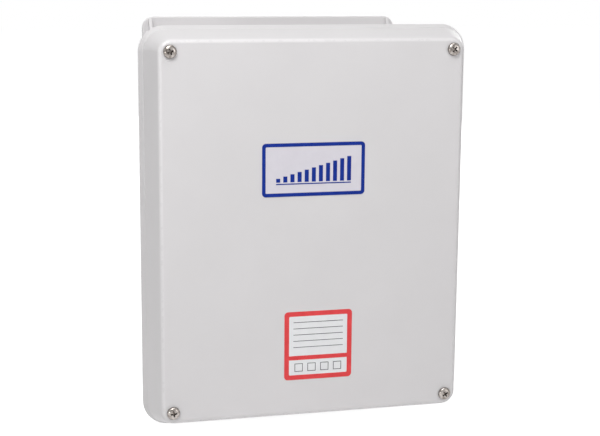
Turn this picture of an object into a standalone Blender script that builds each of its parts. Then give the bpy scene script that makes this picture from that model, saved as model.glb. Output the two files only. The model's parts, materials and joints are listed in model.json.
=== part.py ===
"""Fence energizer in a weatherproof wall housing.

Metres, +Z up. The wall is at y = 0, the screwed cover faces -Y, and the origin is the middle of the back.
"""

import math

import bmesh
import bpy
from mathutils import Vector

# Fits shared by all pieces
SEAT_GAP = 0.0003
HOLE_CLEARANCE = 0.0004
OVERCUT = 0.001

# Cover: a shallow raised lid with sloping sides
FACE_WIDTH = 0.236
FACE_HEIGHT = 0.292
FACE_CORNER = 0.009
FACE_EDGE = 0.0024
COVER_DEPTH = 0.0233
COVER_FLARE_X = 0.0089
COVER_FLARE_Z = 0.0075
COVER_WALL = 0.0035
COVER_LAND = 0.0035
LIP_ROUND = 0.0008
SCREW_INSET = 0.00775
POST_RADIUS = 0.007

# Cover screws, the rings that keep them in the cover and the inserts they turn into
HEAD_RADIUS = 0.0050
HEAD_HEIGHT = 0.0030
HEAD_SIDE = 0.0009
HEAD_CROWN = 0.0022
HEAD_STEPS = 4
SHANK_RADIUS = 0.0025
SHANK_CHAMFER = 0.0008
ENGAGEMENT = 0.0115
RECESS_ARMS = 4
RECESS_REACH = 0.0030
RECESS_FLOOR = 0.0014
RECESS_WIDTH = 0.0013
RECESS_DEPTH = 0.0021
RETAINER_WALL = 0.0022
RETAINER_THICKNESS = 0.0016
RETAINER_ROOM = 0.0026
INSERT_WALL = 0.0009
INSERT_LENGTH = 0.014
INSERT_GROOVE = 0.0004
BOSS_WALL = 0.0033
BOSS_BOTTOM = 0.005

# Housing: a deep tub with an overhanging rim and a mounting plate
HOUSING_DEPTH = 0.1301
HOUSING_WALL = 0.004
SEAM_GAP = 0.0006
RIM_DEPTH = 0.0074
RIM_STEP = 0.0005
RIM_FLARE_X = 0.0025
RIM_FLARE_Z = 0.0021
RIM_OVERHANG = 0.0179
BODY_DRAFT = 0.003
BODY_CORNER = 0.018
BACK_EDGE = 0.001
GASKET_INSET = 0.007
GASKET_WIDTH = 0.005
GROOVE_DEPTH = 0.0025
LAND_MARGIN = 0.0015
FLANGE_REACH = 0.0222
FLANGE_SIDE = 0.0014
FLANGE_THICKNESS = 0.006
FLANGE_CORNER = 0.007
RIB_THICKNESS = 0.0030
RIB_REACH = 0.014
RIB_TIP = 0.0015
RIB_FROM_SIDE = 0.0067
SLOT_LENGTH = 0.014
SLOT_WIDTH = 0.007
SLOT_SPACING = 0.120
SLOT_RISE = 0.0095

# Chassis plate on four bosses of the housing
CHASSIS_THICKNESS = 0.0015
CHASSIS_CORNER = 0.004
CHASSIS_END_MARGIN = 0.014
CHASSIS_SIDE_MARGIN = 0.007
CHASSIS_BOSS_HEIGHT = 0.009
CHASSIS_BOSS_RADIUS = 0.006
CHASSIS_HOLE_INSET = 0.008
FIXING_RADIUS = 0.0017
FIXING_HEAD_RADIUS = 0.0036
FIXING_HEAD_HEIGHT = 0.0024
FIXING_BITE = 0.007
LAYOUT_GAP = 0.016

# Pulse transformer, a stack of laminations round a taped winding
CORE_LIMB = 0.0254
CORE_WINDOW_WIDTH = 0.0127
CORE_WINDOW_HEIGHT = 0.038
CORE_YOKE = 0.013
CORE_STACK = 0.034
CORE_EDGE = 0.0008
WINDING_OVERHANG = 0.009
WINDING_CORNER = 0.004
BOLT_INSET = 0.0062

# Storage capacitor, its two studs and its strap
CAN_RADIUS = 0.025
CAN_LENGTH = 0.092
CAN_EDGE = 0.002
STUD_RADIUS = 0.0025
STUD_LENGTH = 0.006
STUD_SPACING = 0.018
STRAP_THICKNESS = 0.0015
STRAP_WIDTH = 0.022
STRAP_FOOT = 0.012
STRAP_STEPS = 14

# Circuit board on four snap-in supports
BOARD_WIDTH = 0.150
BOARD_HEIGHT = 0.088
BOARD_THICKNESS = 0.0016
BOARD_CORNER = 0.002
BOARD_RISE = 0.010
SUPPORT_INSET = 0.007
SUPPORT_STEM = 0.0016
SUPPORT_BARB = 0.0026
SUPPORT_COLUMN = 0.0036
SUPPORT_NOSE = 0.0024

# Pieces on the board
TERMINAL_PITCH = 0.010
TERMINAL_SIDE = 0.002
TERMINAL_DEPTH = 0.014
TERMINAL_HEIGHT = 0.016
TERMINAL_FROM_SIDE = 0.013
TERMINAL_FROM_BOTTOM = 0.001
TERMINAL_SCREW_RADIUS = 0.002
TERMINAL_SCREW_SUNK = 0.0008
TERMINAL_SLOT_WIDTH = 0.0008
TERMINAL_SLOT_DEPTH = 0.001
WIRE_ENTRY = 0.005
WIRE_ENTRY_DEPTH = 0.009
FUSE_RADIUS = 0.0026
FUSE_CAP = 0.0003
FUSE_CAP_LENGTH = 0.005
FUSE_LENGTH = 0.020
FUSE_WALL = 0.0024
FUSE_BED = 0.003
FUSE_ABOVE_TERMINAL = 0.008
SINK_WIDTH = 0.036
SINK_HEIGHT = 0.028
SINK_BASE = 0.003
SINK_FIN_LENGTH = 0.014
SINK_FIN = 0.002
SINK_FINS = 6
SINK_FROM_LEFT = 0.040
SINK_FROM_TOP = 0.033
DEVICE_WIDTH = 0.010
DEVICE_BODY = 0.0045
DEVICE_TAB = 0.0014
DEVICE_BODY_LENGTH = 0.009
DEVICE_LENGTH = 0.0155
DEVICE_LEG = 0.0009
DEVICE_LEG_PITCH = 0.0028
DEVICE_STAND = 0.005
BRIDGE_WIDTH = 0.022
BRIDGE_DEPTH = 0.016
BRIDGE_HEIGHT = 0.006
BRIDGE_STAND = 0.003
BRIDGE_LEG = 0.0012
BRIDGE_LEG_PITCH = 0.005
BRIDGE_LEGS = 4
RESISTOR_LENGTH = 0.048
RESISTOR_SIDE = 0.010
RESISTOR_FOOT = 0.003
RESISTOR_FROM_RIGHT = 0.011
RESISTOR_FROM_TOP = 0.026
BLOCK_EDGE = 0.0006

# Hook-up leads
LEAD_RADIUS = 0.0013
LEAD_STRAIGHT = 0.0025
LEAD_STUB_POINTS = 3
LEAD_PITCH = 0.008
LEAD_FROM_TOP = 0.008
LEAD_SPACING = 0.007
LEAD_SIDE = 0.010

# Cable glands in the bottom wall
GLAND_SPACING = 0.100
GLAND_FROM_WALL = 0.060
GLAND_PAD_RADIUS = 0.015
GLAND_PAD_PROUD = 0.0005
GLAND_THREAD = 0.008
GLAND_BORE = 0.0052
GLAND_FLANGE = 0.0125
GLAND_FLANGE_HEIGHT = 0.005
GLAND_NECK = 0.009
GLAND_NECK_LENGTH = 0.009
GLAND_SEAL = 0.0066
GLAND_SEAL_BORE = 0.0042
GLAND_NUT_HEIGHT = 0.005
GLAND_THREAD_END = 0.0025
DOME_WALL = 0.0022
DOME_TAPER = 0.003
DOME_END = 0.004
DOME_HEX = 0.008

# Facets
CORNER_STEPS = 8
EDGE_STEPS = 3
ROUND_STEPS = 16
SMALL_STEPS = 10
HEX_SIDES = 6
HEX_STEPS = 3 * HEX_SIDES
FIXING_STEPS = 2 * HEX_SIDES
SMOOTH_ANGLE = math.radians(32)

# Turned pieces are modelled along their own +Z, and these rotations point it where it belongs
TO_FRONT = (math.pi / 2, 0, 0)
TO_FLOOR = (math.pi, 0, 0)

# Sizes worked out from the values above
COVER_WIDTH = FACE_WIDTH + 2 * COVER_FLARE_X
COVER_HEIGHT = FACE_HEIGHT + 2 * COVER_FLARE_Z
COVER_CORNER = FACE_CORNER + (COVER_FLARE_X + COVER_FLARE_Z) / 2
FRONT_Y = -(HOUSING_DEPTH + SEAM_GAP + COVER_DEPTH)
RIM_FRONT_WIDTH = COVER_WIDTH + 2 * RIM_STEP
RIM_FRONT_HEIGHT = COVER_HEIGHT + 2 * RIM_STEP
RIM_FRONT_CORNER = COVER_CORNER + RIM_STEP
RIM_WIDTH = RIM_FRONT_WIDTH + 2 * RIM_FLARE_X
RIM_HEIGHT = RIM_FRONT_HEIGHT + 2 * RIM_FLARE_Z
RIM_CORNER = RIM_FRONT_CORNER + (RIM_FLARE_X + RIM_FLARE_Z) / 2
BODY_WIDTH = RIM_WIDTH - 2 * RIM_OVERHANG
BODY_HEIGHT = RIM_HEIGHT - 2 * RIM_OVERHANG
BACK_WIDTH = BODY_WIDTH - 2 * BODY_DRAFT
BACK_HEIGHT = BODY_HEIGHT - 2 * BODY_DRAFT
BACK_CORNER = BODY_CORNER - BODY_DRAFT
SCREW_X = FACE_WIDTH / 2 - SCREW_INSET
SCREW_Z = FACE_HEIGHT / 2 - SCREW_INSET
INSERT_BORE = SHANK_RADIUS + HOLE_CLEARANCE
INSERT_RADIUS = INSERT_BORE + INSERT_WALL
INSERT_HOLE = INSERT_RADIUS + SEAT_GAP
RETAINER_BORE = SHANK_RADIUS + SEAT_GAP
RETAINER_RADIUS = RETAINER_BORE + RETAINER_WALL
FIXING_HOLE = FIXING_RADIUS + HOLE_CLEARANCE
CORE_WIDTH = CORE_LIMB + 2 * CORE_WINDOW_WIDTH + 2 * CORE_YOKE
CORE_HEIGHT = CORE_WINDOW_HEIGHT + 2 * CORE_YOKE
STRAP_RADIUS = CAN_RADIUS + SEAT_GAP + STRAP_THICKNESS
STRAP_SPAN = 2 * (STRAP_RADIUS + STRAP_FOOT)
UPPER_HEIGHT = max(CAN_LENGTH + STUD_LENGTH, CORE_HEIGHT)
CHASSIS_WIDTH = max(CORE_WIDTH + LAYOUT_GAP + STRAP_SPAN, BOARD_WIDTH) + 2 * CHASSIS_SIDE_MARGIN
CHASSIS_HEIGHT = UPPER_HEIGHT + LAYOUT_GAP + BOARD_HEIGHT + 2 * CHASSIS_END_MARGIN
CHASSIS_Y = -(HOUSING_WALL + CHASSIS_BOSS_HEIGHT + SEAT_GAP + CHASSIS_THICKNESS)
CHASSIS_HOLE_X = CHASSIS_WIDTH / 2 - CHASSIS_HOLE_INSET
CHASSIS_HOLE_Z = CHASSIS_HEIGHT / 2 - CHASSIS_HOLE_INSET
CORE_X = -CHASSIS_WIDTH / 2 + CHASSIS_SIDE_MARGIN + CORE_WIDTH / 2
CORE_Z = CHASSIS_HEIGHT / 2 - CHASSIS_END_MARGIN - CORE_HEIGHT / 2
CAN_X = CHASSIS_WIDTH / 2 - CHASSIS_SIDE_MARGIN - STRAP_SPAN / 2
CAN_TOP = CHASSIS_HEIGHT / 2 - CHASSIS_END_MARGIN
CAN_Y = -(SEAT_GAP + CAN_RADIUS)
STRAP_Z = CAN_TOP - CAN_LENGTH / 2
BOARD_Z = -CHASSIS_HEIGHT / 2 + CHASSIS_END_MARGIN + BOARD_HEIGHT / 2
BOARD_Y = -(BOARD_RISE + BOARD_THICKNESS)
SUPPORT_X = BOARD_WIDTH / 2 - SUPPORT_INSET
SUPPORT_Z = BOARD_HEIGHT / 2 - SUPPORT_INSET
SUPPORT_HOLE = SUPPORT_STEM + HOLE_CLEARANCE
TERMINAL_WIDTH = 2 * TERMINAL_PITCH + 2 * TERMINAL_SIDE
TERMINAL_SCREW_LENGTH = TERMINAL_HEIGHT / 2 - TERMINAL_SCREW_SUNK - SEAT_GAP
TERMINAL_X = BOARD_WIDTH / 2 - TERMINAL_FROM_SIDE - TERMINAL_WIDTH / 2
TERMINAL_Z = -BOARD_HEIGHT / 2 + TERMINAL_FROM_BOTTOM + TERMINAL_DEPTH / 2
GLAND_TOP = -(BACK_HEIGHT / 2 - HOUSING_WALL - GLAND_PAD_PROUD)
GLAND_FACE = -(BODY_HEIGHT / 2 + GLAND_PAD_PROUD)
GLAND_PAD = GLAND_TOP - GLAND_FACE


def clear_scene():
    for obj in list(bpy.data.objects):
        bpy.data.objects.remove(obj)


def material(name, colour, roughness, metallic=0.0):
    made = bpy.data.materials.new(name)
    made.use_nodes = True
    shader = made.node_tree.nodes["Principled BSDF"]
    shader.inputs["Base Color"].default_value = (*colour, 1.0)
    shader.inputs["Roughness"].default_value = roughness
    shader.inputs["Metallic"].default_value = metallic
    made.diffuse_color = (*colour, 1.0)
    return made


def frame(name, location, parent=None):
    """An empty that carries pieces, placed relative to its own parent."""
    empty = bpy.data.objects.new(name, None)
    empty.location = location
    empty.parent = parent
    bpy.context.scene.collection.objects.link(empty)
    return empty


def solid(name, mesh, finish, parent, location=(0, 0, 0), rotation=(0, 0, 0)):
    """A named piece made from a bmesh, carried by a frame."""
    data = bpy.data.meshes.new(name)
    bmesh.ops.recalc_face_normals(mesh, faces=mesh.faces)
    mesh.to_mesh(data)
    mesh.free()
    data.shade_smooth()
    data.set_sharp_from_angle(angle=SMOOTH_ANGLE)
    data.materials.append(finish)
    piece = bpy.data.objects.new(name, data)
    piece.location = location
    piece.rotation_euler = rotation
    piece.parent = parent
    bpy.context.scene.collection.objects.link(piece)
    return piece


def shape(target, operation, label, mesh):
    """Adds a helper shape to a piece or takes it away, in the piece's own place."""
    helper = solid(
        f"{target.name}_{label}",
        mesh,
        target.data.materials[0],
        target.parent,
        target.location,
        target.rotation_euler,
    )
    helper.hide_render = True
    helper.display_type = "WIRE"
    modifier = target.modifiers.new(label, "BOOLEAN")
    modifier.operation = operation
    modifier.solver = "EXACT"
    modifier.object = helper


def add(target, label, mesh):
    shape(target, "UNION", label, mesh)


def cut(target, label, mesh):
    shape(target, "DIFFERENCE", label, mesh)


def outline(width, height, radius):
    """A rounded rectangle about the origin, counter-clockwise in its own plane."""
    points = []
    for quarter, (side, rise) in enumerate(((1, 1), (-1, 1), (-1, -1), (1, -1))):
        middle_x = side * (width / 2 - radius)
        middle_y = rise * (height / 2 - radius)
        for step in range(CORNER_STEPS + 1):
            angle = math.pi / 2 * (quarter + step / CORNER_STEPS)
            points.append((middle_x + radius * math.cos(angle), middle_y + radius * math.sin(angle)))
    return points


def facing(points, y):
    """Plane points stood upright at depth y."""
    return [Vector((point[0], y, point[1])) for point in points]


def lying(points, z):
    """Plane points laid level at height z."""
    return [Vector((point[0], point[1], z)) for point in points]


def sideways(points, x):
    """Plane points of (depth, height), stood at x."""
    return [Vector((x, point[0], point[1])) for point in points]


def loft_into(mesh, rings, hollow=False):
    """Skins rings of equal count, with end faces, or joined end to start where the form is a tube."""
    loops = [[mesh.verts.new(point) for point in ring] for ring in rings]
    pairs = list(zip(loops, loops[1:]))
    if hollow:
        pairs.append((loops[-1], loops[0]))
    for first, second in pairs:
        for index in range(len(first)):
            after = (index + 1) % len(first)
            mesh.faces.new((first[index], first[after], second[after], second[index]))
    if not hollow:
        mesh.faces.new(loops[0])
        mesh.faces.new(loops[-1])


def loft(rings, hollow=False):
    mesh = bmesh.new()
    loft_into(mesh, rings, hollow)
    return mesh


def circle(radius, steps, sides=0):
    """Points round a circle, or round a polygon whose corners lie on it."""
    points = []
    for step in range(steps):
        angle = 2 * math.pi * step / steps
        reach = radius
        if sides:
            half = math.pi / sides
            reach = radius * math.cos(half) / math.cos(angle % (2 * half) - half)
        points.append((reach * math.cos(angle), reach * math.sin(angle)))
    return points


def turned(profile, steps, hollow=False):
    """A piece turned about its +Z from (radius, height) pairs. A third value gives a polygon's sides."""
    rings = []
    for radius, height, *sides in profile:
        rings.append(lying(circle(radius, steps, *sides), height))
    return loft(rings, hollow)


def columns(places, radius, start, end, steps=ROUND_STEPS):
    """Round bars along Y at several (x, z) places."""
    mesh = bmesh.new()
    for x, z in places:
        rings = []
        for y in (start, end):
            rings.append([point + Vector((x, 0, z)) for point in facing(circle(radius, steps), y)])
        loft_into(mesh, rings)
    return mesh


def boxes(extents):
    """Plain boxes, each from its low corner to its high corner."""
    mesh = bmesh.new()
    for low, high in extents:
        corners = ((low[0], low[1]), (high[0], low[1]), (high[0], high[1]), (low[0], high[1]))
        loft_into(mesh, [lying(corners, low[2]), lying(corners, high[2])])
    return mesh


def block(low, high, edge=BLOCK_EDGE):
    """A box with narrow chamfers."""
    mesh = boxes([(low, high)])
    bmesh.ops.bevel(mesh, geom=mesh.edges[:], offset=edge, segments=1, affect="EDGES")
    return mesh


def corners(x, z):
    return [(-x, z), (x, z), (-x, -z), (x, -z)]


def sloped(width, height, corner, flare_x, flare_z, share):
    """An outline part of the way down a sloping side."""
    grown = (flare_x + flare_z) / 2 * share
    return outline(width + 2 * flare_x * share, height + 2 * flare_z * share, corner + grown)


def inset(width, height, corner, amount):
    return outline(width - 2 * amount, height - 2 * amount, corner - amount)


def cover_rings():
    """From the rounded face down the sloping side, round the sealing land and back up inside."""
    rings = []
    for step in range(EDGE_STEPS + 1):
        angle = math.pi / 2 * step / EDGE_STEPS
        drawn_in = FACE_EDGE * (1 - math.sin(angle))
        rings.append(
            facing(inset(FACE_WIDTH, FACE_HEIGHT, FACE_CORNER, drawn_in), FACE_EDGE * (1 - math.cos(angle)))
        )
    rings.append(facing(outline(COVER_WIDTH, COVER_HEIGHT, COVER_CORNER), COVER_DEPTH - LIP_ROUND))
    rings.append(facing(inset(COVER_WIDTH, COVER_HEIGHT, COVER_CORNER, LIP_ROUND), COVER_DEPTH))
    land = inset(
        RIM_FRONT_WIDTH,
        RIM_FRONT_HEIGHT,
        RIM_FRONT_CORNER,
        GASKET_INSET + GASKET_WIDTH / 2 + LAND_MARGIN,
    )
    rings.append(facing(land, COVER_DEPTH))
    rings.append(facing(land, COVER_DEPTH - COVER_LAND))
    inner_width = FACE_WIDTH - 2 * COVER_WALL
    inner_height = FACE_HEIGHT - 2 * COVER_WALL
    inner_corner = FACE_CORNER - COVER_WALL
    share = (COVER_DEPTH - COVER_LAND) / COVER_DEPTH
    wide = sloped(inner_width, inner_height, inner_corner, COVER_FLARE_X, COVER_FLARE_Z, share)
    rings.append(facing(wide, COVER_DEPTH - COVER_LAND))
    rings.append(facing(outline(inner_width, inner_height, inner_corner), COVER_WALL))
    return rings


def front_cover(carrier, finish):
    cover = solid("front_cover", loft(cover_rings()), finish, carrier)
    places = corners(SCREW_X, SCREW_Z)
    post_end = COVER_DEPTH - RETAINER_ROOM
    add(cover, "posts", columns(places, POST_RADIUS, COVER_WALL / 2, post_end))
    pocket = RETAINER_RADIUS + HOLE_CLEARANCE
    cut(cover, "pockets", columns(places, pocket, post_end, COVER_DEPTH + OVERCUT))
    hole = SHANK_RADIUS + HOLE_CLEARANCE
    cut(cover, "screw_holes", columns(places, hole, -OVERCUT, COVER_DEPTH))


def screw_recess():
    """A tapering cross-shaped driver recess, sunk from the top of the head."""
    top = SEAT_GAP + HEAD_HEIGHT + OVERCUT
    bottom = SEAT_GAP + HEAD_HEIGHT - RECESS_DEPTH
    rings = []
    for height, reach in ((bottom, RECESS_FLOOR), (top, RECESS_REACH)):
        half = RECESS_WIDTH / 2
        arm = [(reach, -half), (reach, half), (half, half)]
        cross = []
        for turn in range(RECESS_ARMS):
            angle = 2 * math.pi * turn / RECESS_ARMS
            for x, y in arm:
                cross.append(
                    (x * math.cos(angle) - y * math.sin(angle), x * math.sin(angle) + y * math.cos(angle))
                )
        rings.append(lying(cross, height))
    return loft(rings)


def cover_screw(name, carrier, finish, place):
    """A pan-headed machine screw: a straight-sided head rounded over to a flat crown."""
    length = COVER_DEPTH + SEAM_GAP + ENGAGEMENT
    profile = [
        (SHANK_RADIUS - SHANK_CHAMFER, -length),
        (SHANK_RADIUS, -length + SHANK_CHAMFER),
        (SHANK_RADIUS, SEAT_GAP),
        (HEAD_RADIUS, SEAT_GAP),
    ]
    for step in range(HEAD_STEPS + 1):
        angle = math.pi / 2 * step / HEAD_STEPS
        radius = HEAD_CROWN + (HEAD_RADIUS - HEAD_CROWN) * math.cos(angle)
        profile.append((radius, SEAT_GAP + HEAD_SIDE + (HEAD_HEIGHT - HEAD_SIDE) * math.sin(angle)))
    screw = solid(name, turned(profile, ROUND_STEPS), finish, carrier, (place[0], 0, place[1]), TO_FRONT)
    cut(screw, "recess", screw_recess())


def ring_piece(name, bore, radius, length, finish, carrier, location, rotation=TO_FRONT):
    """A plain tube standing on its location."""
    profile = ((radius, 0), (radius, length), (bore, length), (bore, 0))
    return solid(name, turned(profile, ROUND_STEPS, True), finish, carrier, location, rotation)


def threaded_insert(name, carrier, finish, place):
    """A tube with a locking groove round its waist, sunk just below the rim."""
    third = INSERT_LENGTH / 3
    waist = INSERT_RADIUS - INSERT_GROOVE
    profile = (
        (INSERT_RADIUS, 0),
        (INSERT_RADIUS, third),
        (waist, third + INSERT_GROOVE),
        (waist, 2 * third - INSERT_GROOVE),
        (INSERT_RADIUS, 2 * third),
        (INSERT_RADIUS, INSERT_LENGTH),
        (INSERT_BORE, INSERT_LENGTH),
        (INSERT_BORE, 0),
    )
    bottom = -HOUSING_DEPTH + SEAT_GAP + INSERT_LENGTH
    solid(name, turned(profile, ROUND_STEPS, True), finish, carrier, (place[0], bottom, place[1]), TO_FRONT)


def housing_rings():
    """From the back, up the drafted outside, over the grooved rim and down the inside to the floor."""
    rim_front = -HOUSING_DEPTH
    rim_back = -HOUSING_DEPTH + RIM_DEPTH
    groove_floor = rim_front + GROOVE_DEPTH
    groove_outer = GASKET_INSET - GASKET_WIDTH / 2 - SEAT_GAP
    groove_inner = GASKET_INSET + GASKET_WIDTH / 2 + SEAT_GAP
    front = (RIM_FRONT_WIDTH, RIM_FRONT_HEIGHT, RIM_FRONT_CORNER)
    rim = (RIM_WIDTH, RIM_HEIGHT, RIM_CORNER)
    body = (BODY_WIDTH, BODY_HEIGHT, BODY_CORNER)
    back = (BACK_WIDTH, BACK_HEIGHT, BACK_CORNER)
    return [
        facing(inset(*back, BACK_EDGE), 0),
        facing(outline(*back), -BACK_EDGE),
        facing(outline(*body), rim_back),
        facing(inset(*rim, LIP_ROUND), rim_back),
        facing(outline(*rim), rim_back - LIP_ROUND),
        facing(outline(*front), rim_front + LIP_ROUND),
        facing(inset(*front, LIP_ROUND), rim_front),
        facing(inset(*front, groove_outer), rim_front),
        facing(inset(*front, groove_outer), groove_floor),
        facing(inset(*front, groove_inner), groove_floor),
        facing(inset(*front, groove_inner), rim_front),
        facing(inset(*body, HOUSING_WALL), rim_front),
        facing(inset(*back, HOUSING_WALL), -HOUSING_WALL),
    ]


def mounting_plate():
    """The back plate that stands out above and below as flanges."""
    width = BACK_WIDTH + 2 * FLANGE_SIDE
    height = BACK_HEIGHT + 2 * FLANGE_REACH
    plate = (width, height, FLANGE_CORNER)
    return loft(
        [
            facing(inset(*plate, BACK_EDGE), 0),
            facing(outline(*plate), -BACK_EDGE),
            facing(outline(*plate), BACK_EDGE - FLANGE_THICKNESS),
            facing(inset(*plate, BACK_EDGE), -FLANGE_THICKNESS),
        ]
    )


def flange_ribs():
    """Tapered gussets from the upper and lower walls to the flange ends."""
    mesh = bmesh.new()
    base = BACK_HEIGHT / 2 - HOUSING_WALL / 2
    tip = BACK_HEIGHT / 2 + FLANGE_REACH - BACK_EDGE
    root = -FLANGE_THICKNESS / 2
    x = BACK_WIDTH / 2 + FLANGE_SIDE - RIB_FROM_SIDE
    for side in (-1, 1):
        for rise in (-1, 1):
            wedge = [
                (root, rise * base),
                (-FLANGE_THICKNESS - RIB_REACH, rise * base),
                (-FLANGE_THICKNESS - RIB_TIP, rise * tip),
                (root, rise * tip),
            ]
            left = sideways(wedge, side * x - RIB_THICKNESS / 2)
            right = sideways(wedge, side * x + RIB_THICKNESS / 2)
            loft_into(mesh, [left, right])
    return mesh


def mounting_slots():
    mesh = bmesh.new()
    slot = outline(SLOT_LENGTH, SLOT_WIDTH, SLOT_WIDTH / 2)
    for x, z in corners(SLOT_SPACING / 2, BACK_HEIGHT / 2 + SLOT_RISE):
        rings = []
        for y in (OVERCUT, -FLANGE_THICKNESS - OVERCUT):
            rings.append([point + Vector((x, 0, z)) for point in facing(slot, y)])
        loft_into(mesh, rings)
    return mesh


def gland_bars(radius, top, bottom):
    """Upright round bars at the two gland places."""
    mesh = bmesh.new()
    for side in (-1, 1):
        place = Vector((side * GLAND_SPACING / 2, -GLAND_FROM_WALL, 0))
        rings = [[point + place for point in lying(circle(radius, HEX_STEPS), z)] for z in (bottom, top)]
        loft_into(mesh, rings)
    return mesh


def rear_housing(carrier, finish):
    housing = solid("rear_housing", loft(housing_rings()), finish, carrier)
    add(housing, "mounting_plate", mounting_plate())
    add(housing, "flange_ribs", flange_ribs())
    screw_places = corners(SCREW_X, SCREW_Z)
    boss_start = -HOUSING_DEPTH + (GROOVE_DEPTH + RIM_DEPTH) / 2
    hole_end = -HOUSING_DEPTH + SEAT_GAP + INSERT_LENGTH + SEAT_GAP
    boss_radius = INSERT_HOLE + BOSS_WALL
    add(housing, "insert_bosses", columns(screw_places, boss_radius, boss_start, hole_end + BOSS_BOTTOM))
    chassis_places = corners(CHASSIS_HOLE_X, CHASSIS_HOLE_Z)
    boss_top = -HOUSING_WALL - CHASSIS_BOSS_HEIGHT
    add(housing, "chassis_bosses", columns(chassis_places, CHASSIS_BOSS_RADIUS, -HOUSING_WALL / 2, boss_top))
    add(housing, "gland_pads", gland_bars(GLAND_PAD_RADIUS, GLAND_TOP, GLAND_FACE))
    cut(housing, "mounting_slots", mounting_slots())
    cut(housing, "insert_holes", columns(screw_places, INSERT_HOLE, -HOUSING_DEPTH - OVERCUT, hole_end))
    bite = boss_top + FIXING_BITE + OVERCUT
    cut(housing, "chassis_holes", columns(chassis_places, FIXING_HOLE, boss_top - OVERCUT, bite, SMALL_STEPS))
    hole = GLAND_THREAD + HOLE_CLEARANCE
    cut(housing, "gland_holes", gland_bars(hole, GLAND_TOP + OVERCUT, GLAND_FACE - OVERCUT))


def cover_gasket(carrier, finish):
    outer = inset(RIM_FRONT_WIDTH, RIM_FRONT_HEIGHT, RIM_FRONT_CORNER, GASKET_INSET - GASKET_WIDTH / 2)
    inner = inset(RIM_FRONT_WIDTH, RIM_FRONT_HEIGHT, RIM_FRONT_CORNER, GASKET_INSET + GASKET_WIDTH / 2)
    back = -HOUSING_DEPTH + GROOVE_DEPTH - SEAT_GAP
    front = -HOUSING_DEPTH - SEAM_GAP + SEAT_GAP
    rings = [facing(outer, back), facing(outer, front), facing(inner, front), facing(inner, back)]
    solid("cover_gasket", loft(rings, True), finish, carrier)


def fixing_screw(name, carrier, finish, location, length):
    """A small hexagon-headed screw, its head seated on the carrier's face at this location."""
    head = SEAT_GAP + FIXING_HEAD_HEIGHT
    profile = (
        (FIXING_RADIUS, -length),
        (FIXING_RADIUS, SEAT_GAP),
        (FIXING_HEAD_RADIUS, SEAT_GAP, HEX_SIDES),
        (FIXING_HEAD_RADIUS, head, HEX_SIDES),
    )
    solid(name, turned(profile, FIXING_STEPS), finish, carrier, location, TO_FRONT)


def bolt_places():
    """The two corners of the core that are bolted down."""
    x = CORE_WIDTH / 2 - BOLT_INSET
    z = CORE_HEIGHT / 2 - BOLT_INSET
    return [(CORE_X - x, CORE_Z - z), (CORE_X + x, CORE_Z + z)]


def strap_places():
    """The screws in the capacitor strap's two feet."""
    reach = STRAP_RADIUS + STRAP_FOOT / 2
    return [(CAN_X - reach, STRAP_Z), (CAN_X + reach, STRAP_Z)]


def support_places():
    return [(x, z + BOARD_Z) for x, z in corners(SUPPORT_X, SUPPORT_Z)]


def chassis_plate(carrier, finish):
    sheet = outline(CHASSIS_WIDTH, CHASSIS_HEIGHT, CHASSIS_CORNER)
    plate = solid(
        "chassis_plate", loft([facing(sheet, 0), facing(sheet, CHASSIS_THICKNESS)]), finish, carrier
    )
    back = CHASSIS_THICKNESS + OVERCUT
    screws = corners(CHASSIS_HOLE_X, CHASSIS_HOLE_Z) + bolt_places() + strap_places()
    cut(plate, "screw_holes", columns(screws, FIXING_HOLE, -OVERCUT, back, SMALL_STEPS))
    cut(plate, "support_holes", columns(support_places(), SUPPORT_HOLE, -OVERCUT, back, SMALL_STEPS))
    window_x = CORE_LIMB / 2 + CORE_WINDOW_WIDTH
    window_z = CORE_WINDOW_HEIGHT / 2
    low = (CORE_X - window_x, -OVERCUT, CORE_Z - window_z)
    high = (CORE_X + window_x, back, CORE_Z + window_z)
    cut(plate, "winding_window", boxes([(low, high)]))


def transformer(carrier, steel, tape, zinc):
    """Laminated core flat on the chassis, with its winding through the chassis window and two bolts."""
    back = -SEAT_GAP
    front = back - CORE_STACK
    core = solid(
        "transformer_core",
        block(
            (-CORE_WIDTH / 2, front, -CORE_HEIGHT / 2), (CORE_WIDTH / 2, back, CORE_HEIGHT / 2), CORE_EDGE
        ),
        steel,
        carrier,
        (CORE_X, 0, CORE_Z),
    )
    windows = []
    for side in (-1, 1):
        middle = side * (CORE_LIMB + CORE_WINDOW_WIDTH) / 2
        low = (middle - CORE_WINDOW_WIDTH / 2, front - OVERCUT, -CORE_WINDOW_HEIGHT / 2)
        high = (middle + CORE_WINDOW_WIDTH / 2, back + OVERCUT, CORE_WINDOW_HEIGHT / 2)
        windows.append((low, high))
    cut(core, "windows", boxes(windows))
    holes = [(x - CORE_X, z - CORE_Z) for x, z in bolt_places()]
    cut(core, "bolt_holes", columns(holes, FIXING_HOLE, front - OVERCUT, back + OVERCUT, SMALL_STEPS))
    for number, (x, z) in enumerate(bolt_places(), 1):
        reach = CORE_STACK + SEAT_GAP + CHASSIS_THICKNESS + FIXING_BITE / 2
        fixing_screw(f"core_bolt_{number}", carrier, zinc, (x, front, z), reach)
    bore = outline(CORE_LIMB + 2 * SEAT_GAP, CORE_STACK + 2 * SEAT_GAP, SEAT_GAP)
    wound_width = CORE_LIMB + 2 * CORE_WINDOW_WIDTH - 2 * SEAT_GAP
    wound = outline(wound_width, CORE_STACK + 2 * WINDING_OVERHANG, WINDING_CORNER)
    half = CORE_WINDOW_HEIGHT / 2 - SEAT_GAP
    rings = [lying(wound, -half), lying(wound, half), lying(bore, half), lying(bore, -half)]
    middle = (CORE_X, (front + back) / 2, CORE_Z)
    solid("transformer_winding", loft(rings, True), tape, carrier, middle)


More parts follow.
